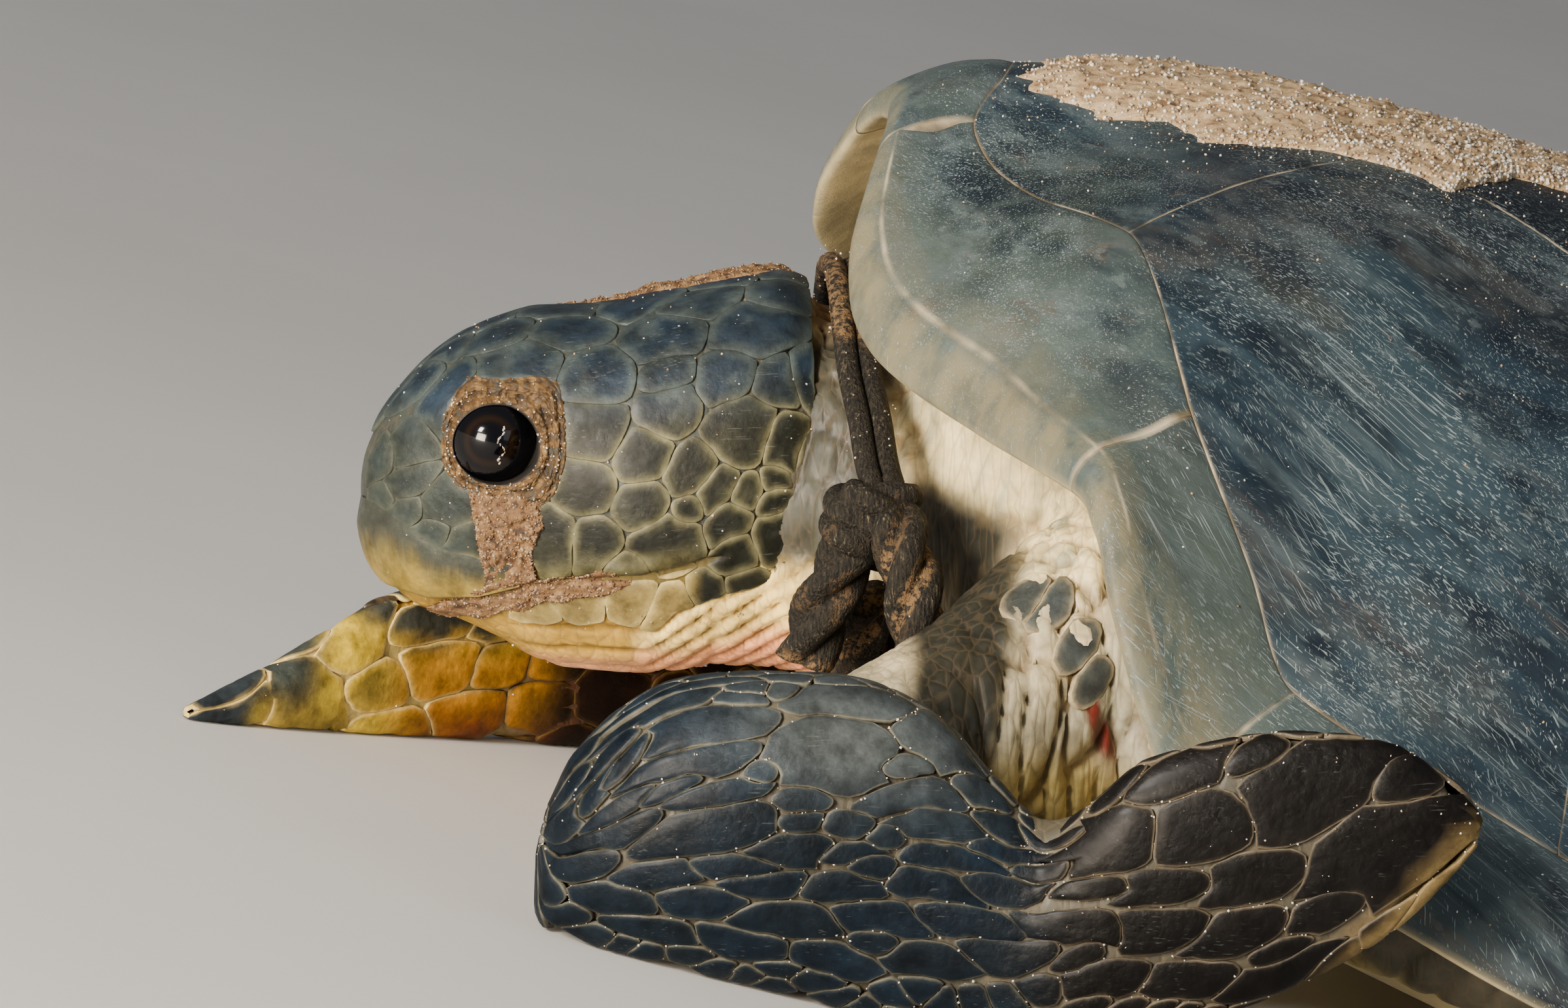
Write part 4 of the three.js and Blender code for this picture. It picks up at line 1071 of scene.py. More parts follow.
def hex_seeds(hide, low, pitch, clear_of=None, clear=1.25, stretch=1.0, turn=0.0, short=0.003):
    """Seeds in staggered rows over a hide from a place along it to short of its end, each nudged at random;
    those within the ovals of the seeds already placed are left out."""
    found = []
    for i, along in enumerate(np.arange(low, hide.along[-1] - short, pitch * 0.87)):
        count = max(3, int(round(hide.girth_at(along) / pitch)))
        share = (np.arange(count) + 0.5 * (i % 2)) / count
        found.append(stacked(np.full(count, along), share))
    found = np.concatenate(found)
    girth = hide.girth_at(found[:, 0])
    nudge = rng.uniform(-0.22, 0.22, found.shape) * pitch
    found = found + stacked(nudge[:, 0], nudge[:, 1] / girth)
    if clear_of is not None:
        gap = found[:, None] - clear_of[None, :, :2]
        gap[..., 1] = ((gap[..., 1] + 0.5) % 1 - 0.5) * girth[:, None]
        c, s = np.cos(np.radians(clear_of[:, 3])), np.sin(np.radians(clear_of[:, 3]))
        run, side = gap[..., 0] * c + gap[..., 1] * s, gap[..., 1] * c - gap[..., 0] * s
        root = np.sqrt(clear_of[:, 2])
        oval = np.hypot(run / root, side * root) / clear_of[:, 4]
        found = found[oval.min(axis=1) > clear]
    return np.concatenate([found, np.tile([stretch, turn, pitch / 2], (len(found), 1))], axis=1)


def face_seeds(stations, places, side):
    """Seeds on the upright face of a limb from [x, z, half length, half width, rise in degrees] rows as
    seen level from the left; side is -1 on the face where the way round runs down, 1 where it runs up."""
    stations = np.array(stations, float)
    run = run_of(stations[:, :3])
    order = np.argsort(stations[:, 0])
    around = np.linspace(0, TAU, 721)
    seeds = []
    for x, z, half_long, half_wide, rise in places:
        at = np.interp(x, stations[order, 0], run[order])
        for _ in range(3):
            heading, wide = (np.interp(at, run, stations[:, k]) for k in (3, 4))
            at = np.interp(x + side * np.sin(np.radians(heading)) * wide, stations[order, 0], run[order])
        ahead = unit(np.array([np.interp(min(at + 4, run[-1]), run, stations[:, k])
            - np.interp(max(at - 4, 0), run, stations[:, k]) for k in range(3)]))
        middle, wide, high = (np.interp(at, run, stations[:, k]) for k in (2, 4, 5))
        angle = np.arcsin(squared(np.clip((z - middle) / high, -0.98, 0.98), 1 / LIMB_POWER))
        angle = np.pi - angle if side < 0 else angle % TAU
        length = run_of(stacked(wide * squared(np.cos(around), LIMB_POWER), high
            * squared(np.sin(around), LIMB_POWER)))
        a = np.cos(np.radians(rise)) / ahead[0]
        b = (np.sin(np.radians(rise)) - a * ahead[2]) * side
        half_long, half_wide = half_long * np.hypot(a, b), half_wide / abs(ahead[0]) / np.hypot(a, b)
        seeds.append([at * MM, np.interp(angle, around, length) / length[-1], half_long / half_wide,
            np.degrees(np.arctan2(b, a)), np.sqrt(half_long * half_wide) * MM])
    return np.array(seeds)


# ---- markings

def skin_colours(points, crease):
    """Colours of bare skin by place: pale folds on the shoulder, dark olive skin behind the rope with the
    rope's shadow painted over it, dark skin between the head's plates and the rope, cream to pink on the
    throat, a sore streak on the shoulder, dark skin between the flippers' plates, far skin under the head
    yellow in painted light and dark brown in painted shade, and painted shade darkening the creases."""
    x, y, z = points[..., 0], points[..., 1], points[..., 2]
    wide = np.abs(y)
    cloud = noise(points, 0.03, 40, 3)
    streaks = noise(points * np.array([1, 1, 0.18]), 0.007, 42, 2)
    along, _, up = head_axes(points)
    chin = np.maximum(soft(up - THROAT(along), -10, -6), soft(along, 24, 14))
    on_face = (soft(along - 44 * soft(up, -28, -40), 14, 24) * soft(x, -0.7, -0.73) * soft(wide, 0.088, 0.076)
        * chin)
    rim_tint = mix((0.84, 0.68, 0.36), (0.46, 0.42, 0.26), soft(streaks + 0.6 * cloud, 0.0, 0.5))
    under_rim = soft(z + 0.01 * cloud, 0.168, 0.182) * soft(x, -0.69, -0.67)
    # painted shadow: the rope's shadow laid nearly black over the dark olive skin just behind the rope
    rope_shadow_band = soft(x + 0.006 * cloud, -0.616, -0.63) * soft(x, -0.672, -0.66) * soft(z, 0.192, 0.176)
    rope_shadow_band = rope_shadow_band * soft(y, 0.05, -0.02)
    slate = soft(x + 0.2 * (0.15 - z) + 0.01 * cloud, -0.604, -0.588) * soft(y, -0.19, -0.21)
    throat = soft(x, -0.655, -0.675) * soft(up, -14, -30) * soft(wide, 0.125, 0.11) * chin
    bright = mix((0.92, 0.66, 0.21), (0.9, 0.38, 0.17), soft(up + 10 * cloud - 0.2 * (45 - along), -56, -70))
    grey = np.maximum(soft(up, -26, -8), soft(along, 150, 165) * soft(up, -30, -14))
    face = painted((0.42, 0.25, 0.035), ((0.17, 0.13, 0.04), soft(up, -52, -36)),
        ((0.04, 0.046, 0.038), grey), ((0.8, 0.38, 0.18), soft(up, -64, -74)))
    sore = np.abs(x + 0.586 + 0.64 * (z - 0.13) + 0.003 * streaks)
    sore = soft(sore, 0.0062, 0.003) * soft(z, 0.106, 0.114) * soft(z, 0.158, 0.146) * soft(y, -0.2, -0.22)
    sore_tint = mix((0.17, 0.013, 0.007), (0.07, 0.025, 0.014), soft(streaks, -0.1, 0.4))
    limb = np.maximum(soft(wide, 0.285, 0.3), soft(x, -0.735, -0.75) * soft(y, 0.02, -0.02) * (along < 0))
    front = soft(x, 0.0, -0.2)
    margin = soft(wide, 0.36, 0.37) * soft(x - 0.55 * (z - 0.12), -0.47, -0.452)
    right = soft(y, -0.05, 0.02) * soft(x, -0.66, -0.7) * (1 - on_face) * soft(z, 0.1, 0.07)
    # painted light and shade: far skin under the head yellow where light is painted on it, dark brown toward
    # the shoulder where the head's shade is painted
    far_light_and_shade = mix((0.5, 0.4, 0.14), (0.075, 0.028, 0.01), soft(x, -0.82, -0.78))
    colour = painted((0.64, 0.53, 0.32), ((0.47, 0.41, 0.26), soft(cloud, -0.3, 0.5)),
        ((0.5, 0.38, 0.13), soft(z + 0.012 * cloud, 0.118, 0.092) * soft(x, -0.7, -0.64)),
        (rim_tint, under_rim), ((0.006, 0.008, 0.006), 0.97 * rope_shadow_band), ((0.24, 0.25, 0.2), 0.6 * slate
        * soft(z, 0.1, 0.13)), ((0.024, 0.027, 0.02), 0.94 * soft(x, -0.672, -0.684)
        * soft(up + 8 * cloud, -38, -16)), ((0.3, 0.2, 0.11), soft(z, 0.222, 0.236) * soft(x, -0.66, -0.68)),
        (bright, throat * soft(z, 0.0, 0.03)), (face, on_face), (sore_tint, 0.97 * sore),
        ((0.048, 0.044, 0.032), 0.97 * limb * front * (1 - on_face)), ((0.3, 0.21, 0.09), margin * front),
        (far_light_and_shade, right), ((0.24, 0.23, 0.16), soft(x, 0.05, 0.1)))
    colour = colour * (1 + 0.16 * noise(points, 0.007, 41, 2))[..., None]
    # painted shade: the skin darkened where it lies in a crease
    return np.clip(mix(colour, colour * np.array([0.34, 0.25, 0.18]), 0.75 * crease), 0.004, 0.95)


def horn_plates(dark, middle, seam, seam_width=0.0011, spread=0.35, centre=(0.0012, 0.006), rest=0.35):
    """Colours of a coat of plates: a clouded dark centre, a lighter border and a pale line at the edge;
    rest is how far the middle tint comes back in clouds."""

    def tint(points, edge, number):
        core = soft(edge, *centre)
        colour = painted(middle, (dark, np.clip(core * (0.75 + 0.5 * number), 0, 1)),
            (middle, rest * soft(noise(points, 0.011, 50, 3), 0.05, 0.5)))
        colour = colour * (1 + spread * (number - 0.5))[..., None]
        return mix(colour, seam, bell(edge, seam_width) * (0.75 + 0.25 * noise(points, 0.006, 51, 2)))

    return tint


# ---- the head's plates

SIDE_PLATES = [[84, 38, 17, 1.1], [88, 15, 16, 1.1], [101, -6, 15, 1.1, 20], [82, -9, 14], [62, 29, 15],
    [51, 48, 15], [40, 23, 15], [62, 8, 14], [30, 15, 13], [42, 7, 9], [17, 12, 10], [25, -1, 12],
    [51, -9, 18, 1.1], [19, 38, 19], [1, 31, 14, 1.5, 80], [4, 18, 9], [-12, 24, 12], [67, -20, 11, 1.3],
    [22, -15, 11], [4, -6, 12], [-10, -1, 11], [5, 7, 9], [82, 59, 16, 1.1], [51, 62, 12], [25, 62, 15],
    [4, 59, 13], [-10, 60, 12], [50, 77, 17, 1.1], [14, 80, 18, 1.1], [116, 60, 17, 1.5, -14],
    [145, 45, 14, 1.5, -45], [159, 27, 11], [163, 10, 10, 1.2], [147, 3, 12, 1.3], [134, -14, 12, 1.2],
    [175, 14, 8], [163, -2, 9, 1.2], [153, -10, 9, 1.2], [174, 1, 8], [48, -44, 13, 1.1],
    [31, -37, 12, 1.1, 60], [66, -41, 12, 1.2], [88, -41, 12, 1.3], [110, -44, 12, 1.3], [50, -62, 12, 1.2],
    [74, -60, 12, 1.2], [98, -60, 12, 1.2], [132, -53, 11, 1.4], [18, -32, 10], [10, -50, 10, 1.2, 90],
    [30, -54, 10, 1.2, 90], [-10, -22, 10], [-6, -42, 10]]
CROWN_PLATES = [[62, 0, 1.1, 0, 26], [26, 0, 1.1, 0, 18], [94, 0, 1.3, 0, 22], [128, 0, 1.3, 0, 15],
    [-2, 0, 1, 0, 14], [36, 0.052, 1.1, 0, 17], [92, 0.06, 1.2, 0, 15], [122, 0.045, 1.3, 0, 13],
    [143, 0.03, 1.3, 0, 11], [156, 0.045, 1.2, 0, 10], [2, 0.06, 1, 0, 13], [166, 0, 1, 0, 8]]


PLATE_FOOT = keyed([[-14, -24], [45, -43], [60, -58], [90, -59], [120, -50], [184, -50]])


def head_hide():
    points, along = head_surface()
    return Hide(points, (along - HEAD_START) * MM)


def side_seed(along, up):
    """The share of the way round, from the crown down the left side, at a height in side view."""
    section = head_section(np.array([along]), TAU / 4 - np.linspace(0, TAU / 2, 2001))
    run = run_of(np.stack(section, -1))
    return np.interp(-up, -section[1], run) / (2 * run[-1])


def head_plates(hide):
    """The large horn plates of the head, the same on both sides, with a row down the crown."""
    seeds = []
    for along, up, size, *shape in SIDE_PLATES:
        stretch, turn = shape + [1, 0][len(shape):]
        share = side_seed(along, up)
        seeds += [[(along - HEAD_START) * MM, side * share, stretch, -side * turn, size * MM]
            for side in (1, -1)]
    for along, share, stretch, turn, size in CROWN_PLATES:
        sides = (1, -1) if share else (1,)
        seeds += [[(along - HEAD_START) * MM, side * share, stretch, turn, size * MM] for side in sides]

    def allowed(along, round_):
        a, _, up = head_axes(hide.at(along, round_))
        from_eye, angle = from_lid_centre(a, up)
        mouth = from_line(a, up, MOUTH)
        beak = (a > 106) & (mouth > -1) & (from_line(a, up, BEAK_TOP) < -0.9)
        lower_beak = (a > 118) & (mouth < 1) & (mouth > -14)
        return ((from_eye > LID_REACH(angle) - 2.0) & ((np.abs(mouth) > 1.4) | (a < 30)) & ~beak & ~lower_beak
            & (up >= PLATE_FOOT(a)) & (a < 180) & (a > -13))

    crown = horn_plates((0.008, 0.015, 0.024), (0.032, 0.042, 0.042), (0.034, 0.045, 0.043), 0.0008, 0.3,
        rest=0.8)
    cheek = horn_plates((0.009, 0.01, 0.007), (0.038, 0.037, 0.02), (0.16, 0.145, 0.075), 0.0015, 0.3,
        (0.0012, 0.005))
    snout = horn_plates((0.019, 0.026, 0.024), (0.033, 0.039, 0.031), (0.066, 0.072, 0.054), 0.0009, 0.2)
    jaw = horn_plates((0.2, 0.145, 0.045), (0.28, 0.21, 0.07), (0.42, 0.33, 0.13), 0.0012, 0.2)

    def tint(*place):
        a, _, up = head_axes(place[0])
        mouth = from_line(a, up, MOUTH)
        foot = soft(mouth, 14, 3) * soft(a, 30, 44) * soft(mouth, -1, 0)
        low = np.maximum(soft(mouth, 2, -3) * soft(a, 34, 44), soft(up, -42, -56))
        return painted(cheek(*place), (snout(*place), soft(a + 0.3 * up, 120, 142)),
            (crown(*place), soft(up + 0.1 * a + 5 * noise(place[0], 0.02, 54, 2), 40, 62)),
            ((0.13, 0.115, 0.045), 0.55 * foot), (jaw(*place), low))

    scales("head_plates", hide, np.array(seeds), PLATE, tint, (0.02, 0.02, 1.6),
        [1, 0.985, 0.95, 0.88, 0.76, 0.55, 0.3], 40, gap=0.0001, height=0.0004, allowed=allowed, sink=0.0025,
        sharp=11, wave=0.0008, roomy=1.5)


# ---- eyes, lids, beak and claws


def sphere(rows, columns):
    """A unit ball with its pole along its first axis."""
    down, round_ = np.meshgrid(np.linspace(0, np.pi, rows), all_round(columns), indexing="ij")
    points = stacked(np.cos(down), np.sin(down) * np.cos(round_), np.sin(down) * np.sin(round_))
    return capped(points[1:-1], points[[0, -1], 0])


def eye(word, side):
    """The eyeball, with a slight bulge over the iris, and the lids round it; gives back the lids' places."""
    ball, faces = sphere(60, 90)
    outward = unit(np.array([0.12, side * 1.0, 0.1]))
    first = unit(np.cross(outward, [0, 0, 1.0]))
    axes = ball @ np.stack([outward, first, np.cross(outward, first)])
    ahead = ball[:, 0]
    place = axes * (BALL_RADIUS * (1 + 0.035 * soft(ahead, 0.8, 0.97)))[:, None]
    points = on_head(BALL[0] + place[:, 0], side * BALL[1] + place[:, 1], BALL[2] + place[:, 2])
    iris = bell(np.degrees(np.arccos(np.clip(ahead, -1, 1))) - 29, 5)
    mesh = new_mesh(f"{word}_eyeball", points, faces, {"iris": iris})
    add_piece(mesh, WET_EYE, [f"{word}_eye"])
    return lids(word, side)


BALL = np.array([125.6, 36.2, 29.4])
BALL_RADIUS = 20.2
LID_CENTRE = EYE[[0, 2]] - np.array([2.1, 2.3])


LID_SECTION = np.array([[0.0, -1.6], [0.02, 0.2], [0.06, 0.9], [0.12, 1.2], [0.2, 1.5], [0.3, 1.2],
    [0.38, 0.3], [0.46, 0.9], [0.58, 1.9], [0.7, 1.8], [0.78, 0.8], [0.84, 1.0], [0.9, 0.9], [0.96, 0.1],
    [1.0, -1.6]])


def lids(word, side):
    """Rolls of lid skin from the eyeball out to the face: the section, its heights in millimetres over a
    share of its width, is carried round the opening, wider at the back and top, with crusted wrinkles."""
    round_ = all_round(320)
    share = np.linspace(0, 1, 72)[:, None]
    inner = 1 / np.hypot(np.cos(round_) / LID_OPENING[0], np.sin(round_) / LID_OPENING[1])
    width = LID_REACH(np.degrees(round_)) - inner
    r = inner + share * width
    a, up = LID_CENTRE[0] + r * np.cos(round_), LID_CENTRE[1] + r * np.sin(round_)
    face = head_out(a, up) + face_relief(a, 50 + 0 * a, up)
    away = np.hypot(a - BALL[0], up - BALL[2])
    ball = BALL[1] + np.sqrt(np.maximum((BALL_RADIUS * 1.01) ** 2 - away ** 2, 0))
    proud = ball - 2.2 * np.maximum(away - BALL_RADIUS, 0) - face
    base = face + 0.5 * (proud + np.hypot(proud, 0.8)) * soft(share, 1.0, 0.85)
    spot = stacked(a, up, np.full_like(a, 3.0 * side))
    outward = stacked(round_ * 7 + 0 * a, share * 1.6 + 0 * a, 0 * a)
    cracks = crackle(spot, 2.6)
    rough = 1.0 * noise(spot, 2.0, 60, 3) + 0.5 * noise(outward, 1.0, 61, 2) - 0.8 * bell(cracks, 0.1)
    lift = np.interp(share, LID_SECTION[:, 0], LID_SECTION[:, 1]) * (0.75 + 0.3 * soft(width, 8, 12))
    out = base + lift + rough * soft(share, 0.04, 0.12) * soft(share, 1.0, 0.88)
    out[0] = ball[0] - 1.5
    points = on_head(a, side * out, up)
    # painted shade: the lid's folds, the cracks in its crust and its inner edge by the eyeball are darkened
    fold = bell(share - 0.38, 0.05) + bell(share - 0.79, 0.04) + bell(share - 0.02, 0.03)
    patch = noise(spot, 2.6, 62, 3)
    colour = painted((0.08, 0.043, 0.015), ((0.016, 0.012, 0.008), np.clip(fold + 0 * a, 0, 1) * 0.8),
        ((0.17, 0.098, 0.036), soft(patch, 0.05, 0.35) * 0.8), ((0.05, 0.048, 0.038), soft(patch, -0.2, -0.42)
        * 0.85), ((0.05, 0.03, 0.018), 0.6 * bell(cracks, 0.08)), ((0.016, 0.014, 0.012),
        soft(share, 0.12, 0.04) + 0 * a))
    faces = lattice(*a.shape)
    inner_point = on_head(EYE[0], side * (EYE[1] - 5), EYE[2])
    normal = np.cross(np.gradient(points, axis=0), np.roll(points, -1, 1) - np.roll(points, 1, 1))
    if np.einsum("ijk,ijk->", normal, points - inner_point) > 0:
        faces = faces[:, ::-1]
    add_piece(new_mesh(f"{word}_eyelids", points, [faces], None, colour, None, False), LID)
    return points[4:-4].reshape(-1, 3)


LID_OPENING = np.array([18.3, 17.0])
LID_REACH = keyed([[0, 23.3], [45, 27], [65, 31.6], [90, 28.8], [110, 32], [135, 39], [150, 34.6], [180, 31],
    [200, 31.4], [225, 33.5], [270, 23.4], [315, 25.5], [360, 23.3]])


def from_lid_centre(along, up):
    """How far places lie from the middle of the eye's opening, and at what angle in degrees."""
    ahead, above = along - LID_CENTRE[0], up - LID_CENTRE[1]
    return np.hypot(ahead, above), np.degrees(np.arctan2(above, ahead)) % 360


def mix_numbers(a, b, part):
    return a * (1 - part) + b * part




def beak():
    """The upper beak: a sheet of horn over the face from its left corner round the tip to its right,
    between the mouth line and the beak's upper edge, lying almost flush, with a thin cutting edge."""
    columns, rows = 420, 44
    level = chained([0, 0.004, 0.015], np.linspace(0.04, 1, rows - 3))
    lift = 0.25 + 0.6 * soft(level, 0.0, 0.03) * soft(level, 1.05, 0.75) - 1.3 * (level < 0.002)
    lift = lift - 0.1 * soft(level, 0.9, 1)
    swing = (np.linspace(-1, 1, columns) * np.radians(118))[:, None]
    tip = HEAD_TIP - 2.8 * soft(level, 0.4, 0.95)
    low, high = np.zeros((columns, rows)), np.full((columns, rows), 70.0)

    def place(reach):
        a = BEAK_CENTRE + reach * np.cos(swing)
        bottom = np.interp(a, *line_up(MOUTH)) + 0.6
        return a, bottom + (np.interp(a, *line_up(BEAK_TOP)) - bottom) * level

    for _ in range(26):
        middle = (low + high) / 2
        a, up = place(middle)
        inside = (np.abs(middle * np.sin(swing)) < head_out(np.minimum(a, HEAD_TIP), up)) & (a < tip)
        low, high = np.where(inside, middle, low), np.where(inside, high, middle)
    a, up = place(low)
    plain = on_head(a, -low * np.sin(swing), up)
    normal = unit(np.cross(np.gradient(plain, axis=0), np.gradient(plain, axis=1)))
    inner = on_head(np.array([120.0]), np.array([0.0]), np.array([-20.0]))[0]
    facing = np.sign(np.einsum("ijk,ijk->", normal, plain - inner))

    def ribbed(fineness, rise, seed):
        return noise(stacked(swing * fineness + 0 * a, up * rise, 0 * a), 1.0, seed, 2)

    ribs, fine, broad = ribbed(22, 0.05, 71), ribbed(70, 0.03, 70), ribbed(5, 0.03, 72)
    points = plain + normal * facing * ((lift + 0.12 * ribs * soft(level, 0.02, 0.1)) * MM)[..., None]
    dark = soft(level + 0.12 * fine + 0.16 * broad, 0.12, 0.78)
    colour = painted((0.205, 0.145, 0.026), ((0.029, 0.032, 0.024), dark), ((0.28, 0.2, 0.04),
        soft(level, 0.14, 0.02) * 0.7 + 0 * a))
    colour = colour * (1 + 0.14 * fine)[..., None]
    faces = lattice(columns, rows, wrap=False)
    faces = [faces[:, ::-1] if facing < 0 else faces]
    add_piece(new_mesh("upper_beak_horn", points, faces, None, colour, None, False), BEAK,
        ["upper_beak"])


BEAK_CENTRE = 140.0


def line_up(line):
    """A line of [along, up] points as two columns in rising order."""
    return line[np.argsort(line[:, 0])].T


def claw(name, base, heading, size=(0.0055, 0.024)):
    """A short curved claw: rounds that shrink to a point along a line that hooks down."""
    along = np.linspace(0, 1, 24)[:, None]
    turn, angle = np.radians(heading), all_round(28)[:, None]
    ahead = np.array([np.cos(turn), np.sin(turn), 0])
    line = np.array(base) + ahead * (along - 0.5) * size[1] - np.array([0, 0, 0.003]) * along ** 2
    radius = size[0] * np.sqrt(1 - along ** 1.6 * 0.985)
    section = 0.8 * np.cos(angle) * np.array([-ahead[1], ahead[0], 0]) + np.sin(angle) * np.array([0, 0, 1])
    points, faces = capped(line[:, None] + radius[..., None] * section, line[[0, -1]])
    add_piece(new_mesh(name + "_horn", points, faces), CLAW, [name])


# ---- the skin

SKIN_DEPTH, FLIPPER_DEPTH = 2.0, 1.3


TRUNK_FOOT = keyed([[-1, 0.7], [0, 0.72], [0.8, 0.76], [1, 0.82], [2, 0.88], [3, 0.9], [5, 0.92], [7, 0.9],
    [9, 0.84], [12, 0.8]])


def belly_up(s):
    return np.maximum(0, REST[1] + (s - REST[0]) * np.tan(BODY_PITCH))


def trunk():
    """The trunk: rows run down from the spine under the shell, round the wall and in below."""
    t = chained(np.linspace(-1, 4, 170), np.linspace(4, 12, 110)[1:])
    side = np.ones_like(t)
    t, side = chained(t, t[-2:0:-1]), chained(side, -side[-2:0:-1])
    seam = on(SEAM_LINE, t)
    spine, crest = np.interp(t, RAY, SPINE_LINE), np.interp(t, RAY, CREST_LINE)

    def place(share):
        return (spine + share * (seam[:, 0] - spine), share * seam[:, 1], seam[:, 2] + (crest - seam[:, 2])
            * (1 - share ** 2.4))

    rows = []
    inset, drop = 0.985, 0.0125
    for share in np.array([0.05, 0.3, 0.55, 0.75, 0.9, 1.0]) * inset:
        s, w, h = place(share)
        rows.append(to_model(s, side * w, h - drop))
    foot_share = TRUNK_FOOT(t)
    for down in np.linspace(0.03, 1, 60):
        bend = down * np.pi / 2
        s, w, _ = place(foot_share + (inset - foot_share) * np.cos(bend) ** 0.8)
        top = place(np.full_like(t, inset))[2] - drop
        foot = belly_up(s) + 0.013
        rows.append(to_model(s, side * w, foot + (top - foot) * (1 - np.sin(bend))))
    for share in (0.7, 0.4, 0.1):
        s, w, _ = place(foot_share * share)
        rows.append(to_model(s, side * w, belly_up(s) + 0.013))
    return np.array(rows)


def smoothed(points, edges, weight, times):
    """Moves points toward the mean of their neighbours by their weight, again and again."""
    count = len(points)
    degree = np.maximum(np.bincount(edges[:, 0], minlength=count), 1)[:, None]
    for _ in range(times):
        total = np.stack([np.bincount(edges[:, 0], points[edges[:, 1], k], count) for k in range(3)], -1)
        points = points + (total / degree - points) * weight[:, None] * 0.6
    return points


def spread(weight, edges, times, keep):
    """Lets a weight run out over the mesh, a step and a little loss at a time."""
    for _ in range(times):
        reached = weight.copy()
        np.maximum.at(reached, edges[:, 0], weight[edges[:, 1]] * keep)
        weight = reached
    return weight


def skin():
    """One skin for all the flesh: tubes joined to the trunk, the joins worked smooth, then its folds."""
    limbs = [(NECK, 90, 180, SKIN_DEPTH), (LEFT_FLIPPER, 100, 72, FLIPPER_DEPTH),
        (LEFT_ARM, 140, 170, SKIN_DEPTH), (RIGHT_ARM, 60, 64, SKIN_DEPTH), (RIGHT_FLIPPER, 100, 52,
        FLIPPER_DEPTH)]
    limbs += [(hind_stations(side), 60, 42, SKIN_DEPTH) for side in (1, -1)] + [(TAIL, 36, 32, SKIN_DEPTH)]
    parts = [trunk(), head_surface(125, 210, 0.9, 12.0)[0], *(tube(*limb)[0] for limb in limbs)]
    objects, known = [], []
    for i, place in enumerate(parts):
        points, faces = capped(floored(place))
        known.append(points)
        objects.append(bpy.data.objects.new(f"flesh_{i}", new_mesh(f"flesh_{i}", points, faces)))
        bpy.context.scene.collection.objects.link(objects[-1])
    body = objects[0]
    for other in objects[1:]:
        join = body.modifiers.new("join", "BOOLEAN")
        join.operation, join.solver, join.object = "UNION", "MANIFOLD", other
    depsgraph = bpy.context.evaluated_depsgraph_get()
    mesh = bpy.data.meshes.new_from_object(body.evaluated_get(depsgraph))
    for piece in objects:
        bpy.data.objects.remove(piece)

    def read(collection, key, width, kind=np.float64):
        numbers = np.empty(len(collection) * width, kind)
        collection.foreach_get(key, numbers)
        return numbers.reshape(-1, width)

    def write(points):
        mesh.vertices.foreach_set("co", points.ravel())
        mesh.update()

    points = read(mesh.vertices, "co", 3)
    edges = read(mesh.edges, "vertices", 2, np.int32)
    edges = chained(edges, edges[:, ::-1])
    to_key = np.array([1, 4000037, 16000000000003])
    old, mine = (np.round(some * 1e6).astype(np.int64) @ to_key for some in (np.concatenate(known), points))
    weight = spread((~np.isin(mine, old)).astype(float), edges, 12, 0.95)
    points = smoothed(points, edges, np.clip((weight - 0.5) * 2.2, 0, 1), 40)
    write(points)
    height, crease = folds(points)
    points = points + read(mesh.vertices, "normal", 3) * height[:, None]
    points[:, 2] = np.maximum(points[:, 2], 0.0008)
    write(points)
    mesh.shade_smooth()
    mesh.name = "body_skin"
    set_tint(mesh, skin_colours(points, crease))
    mesh.materials.clear()
    add_piece(mesh, SKIN, FLESH)


DOWN_FOLDS = (0.22, -0.1, -0.97)
FLESH = ["trunk", "neck", "head", "lower_jaw", "left_upper_arm", "right_upper_arm", "left_flipper",
    "right_flipper", "left_hind_flipper", "right_hind_flipper", "tail"]


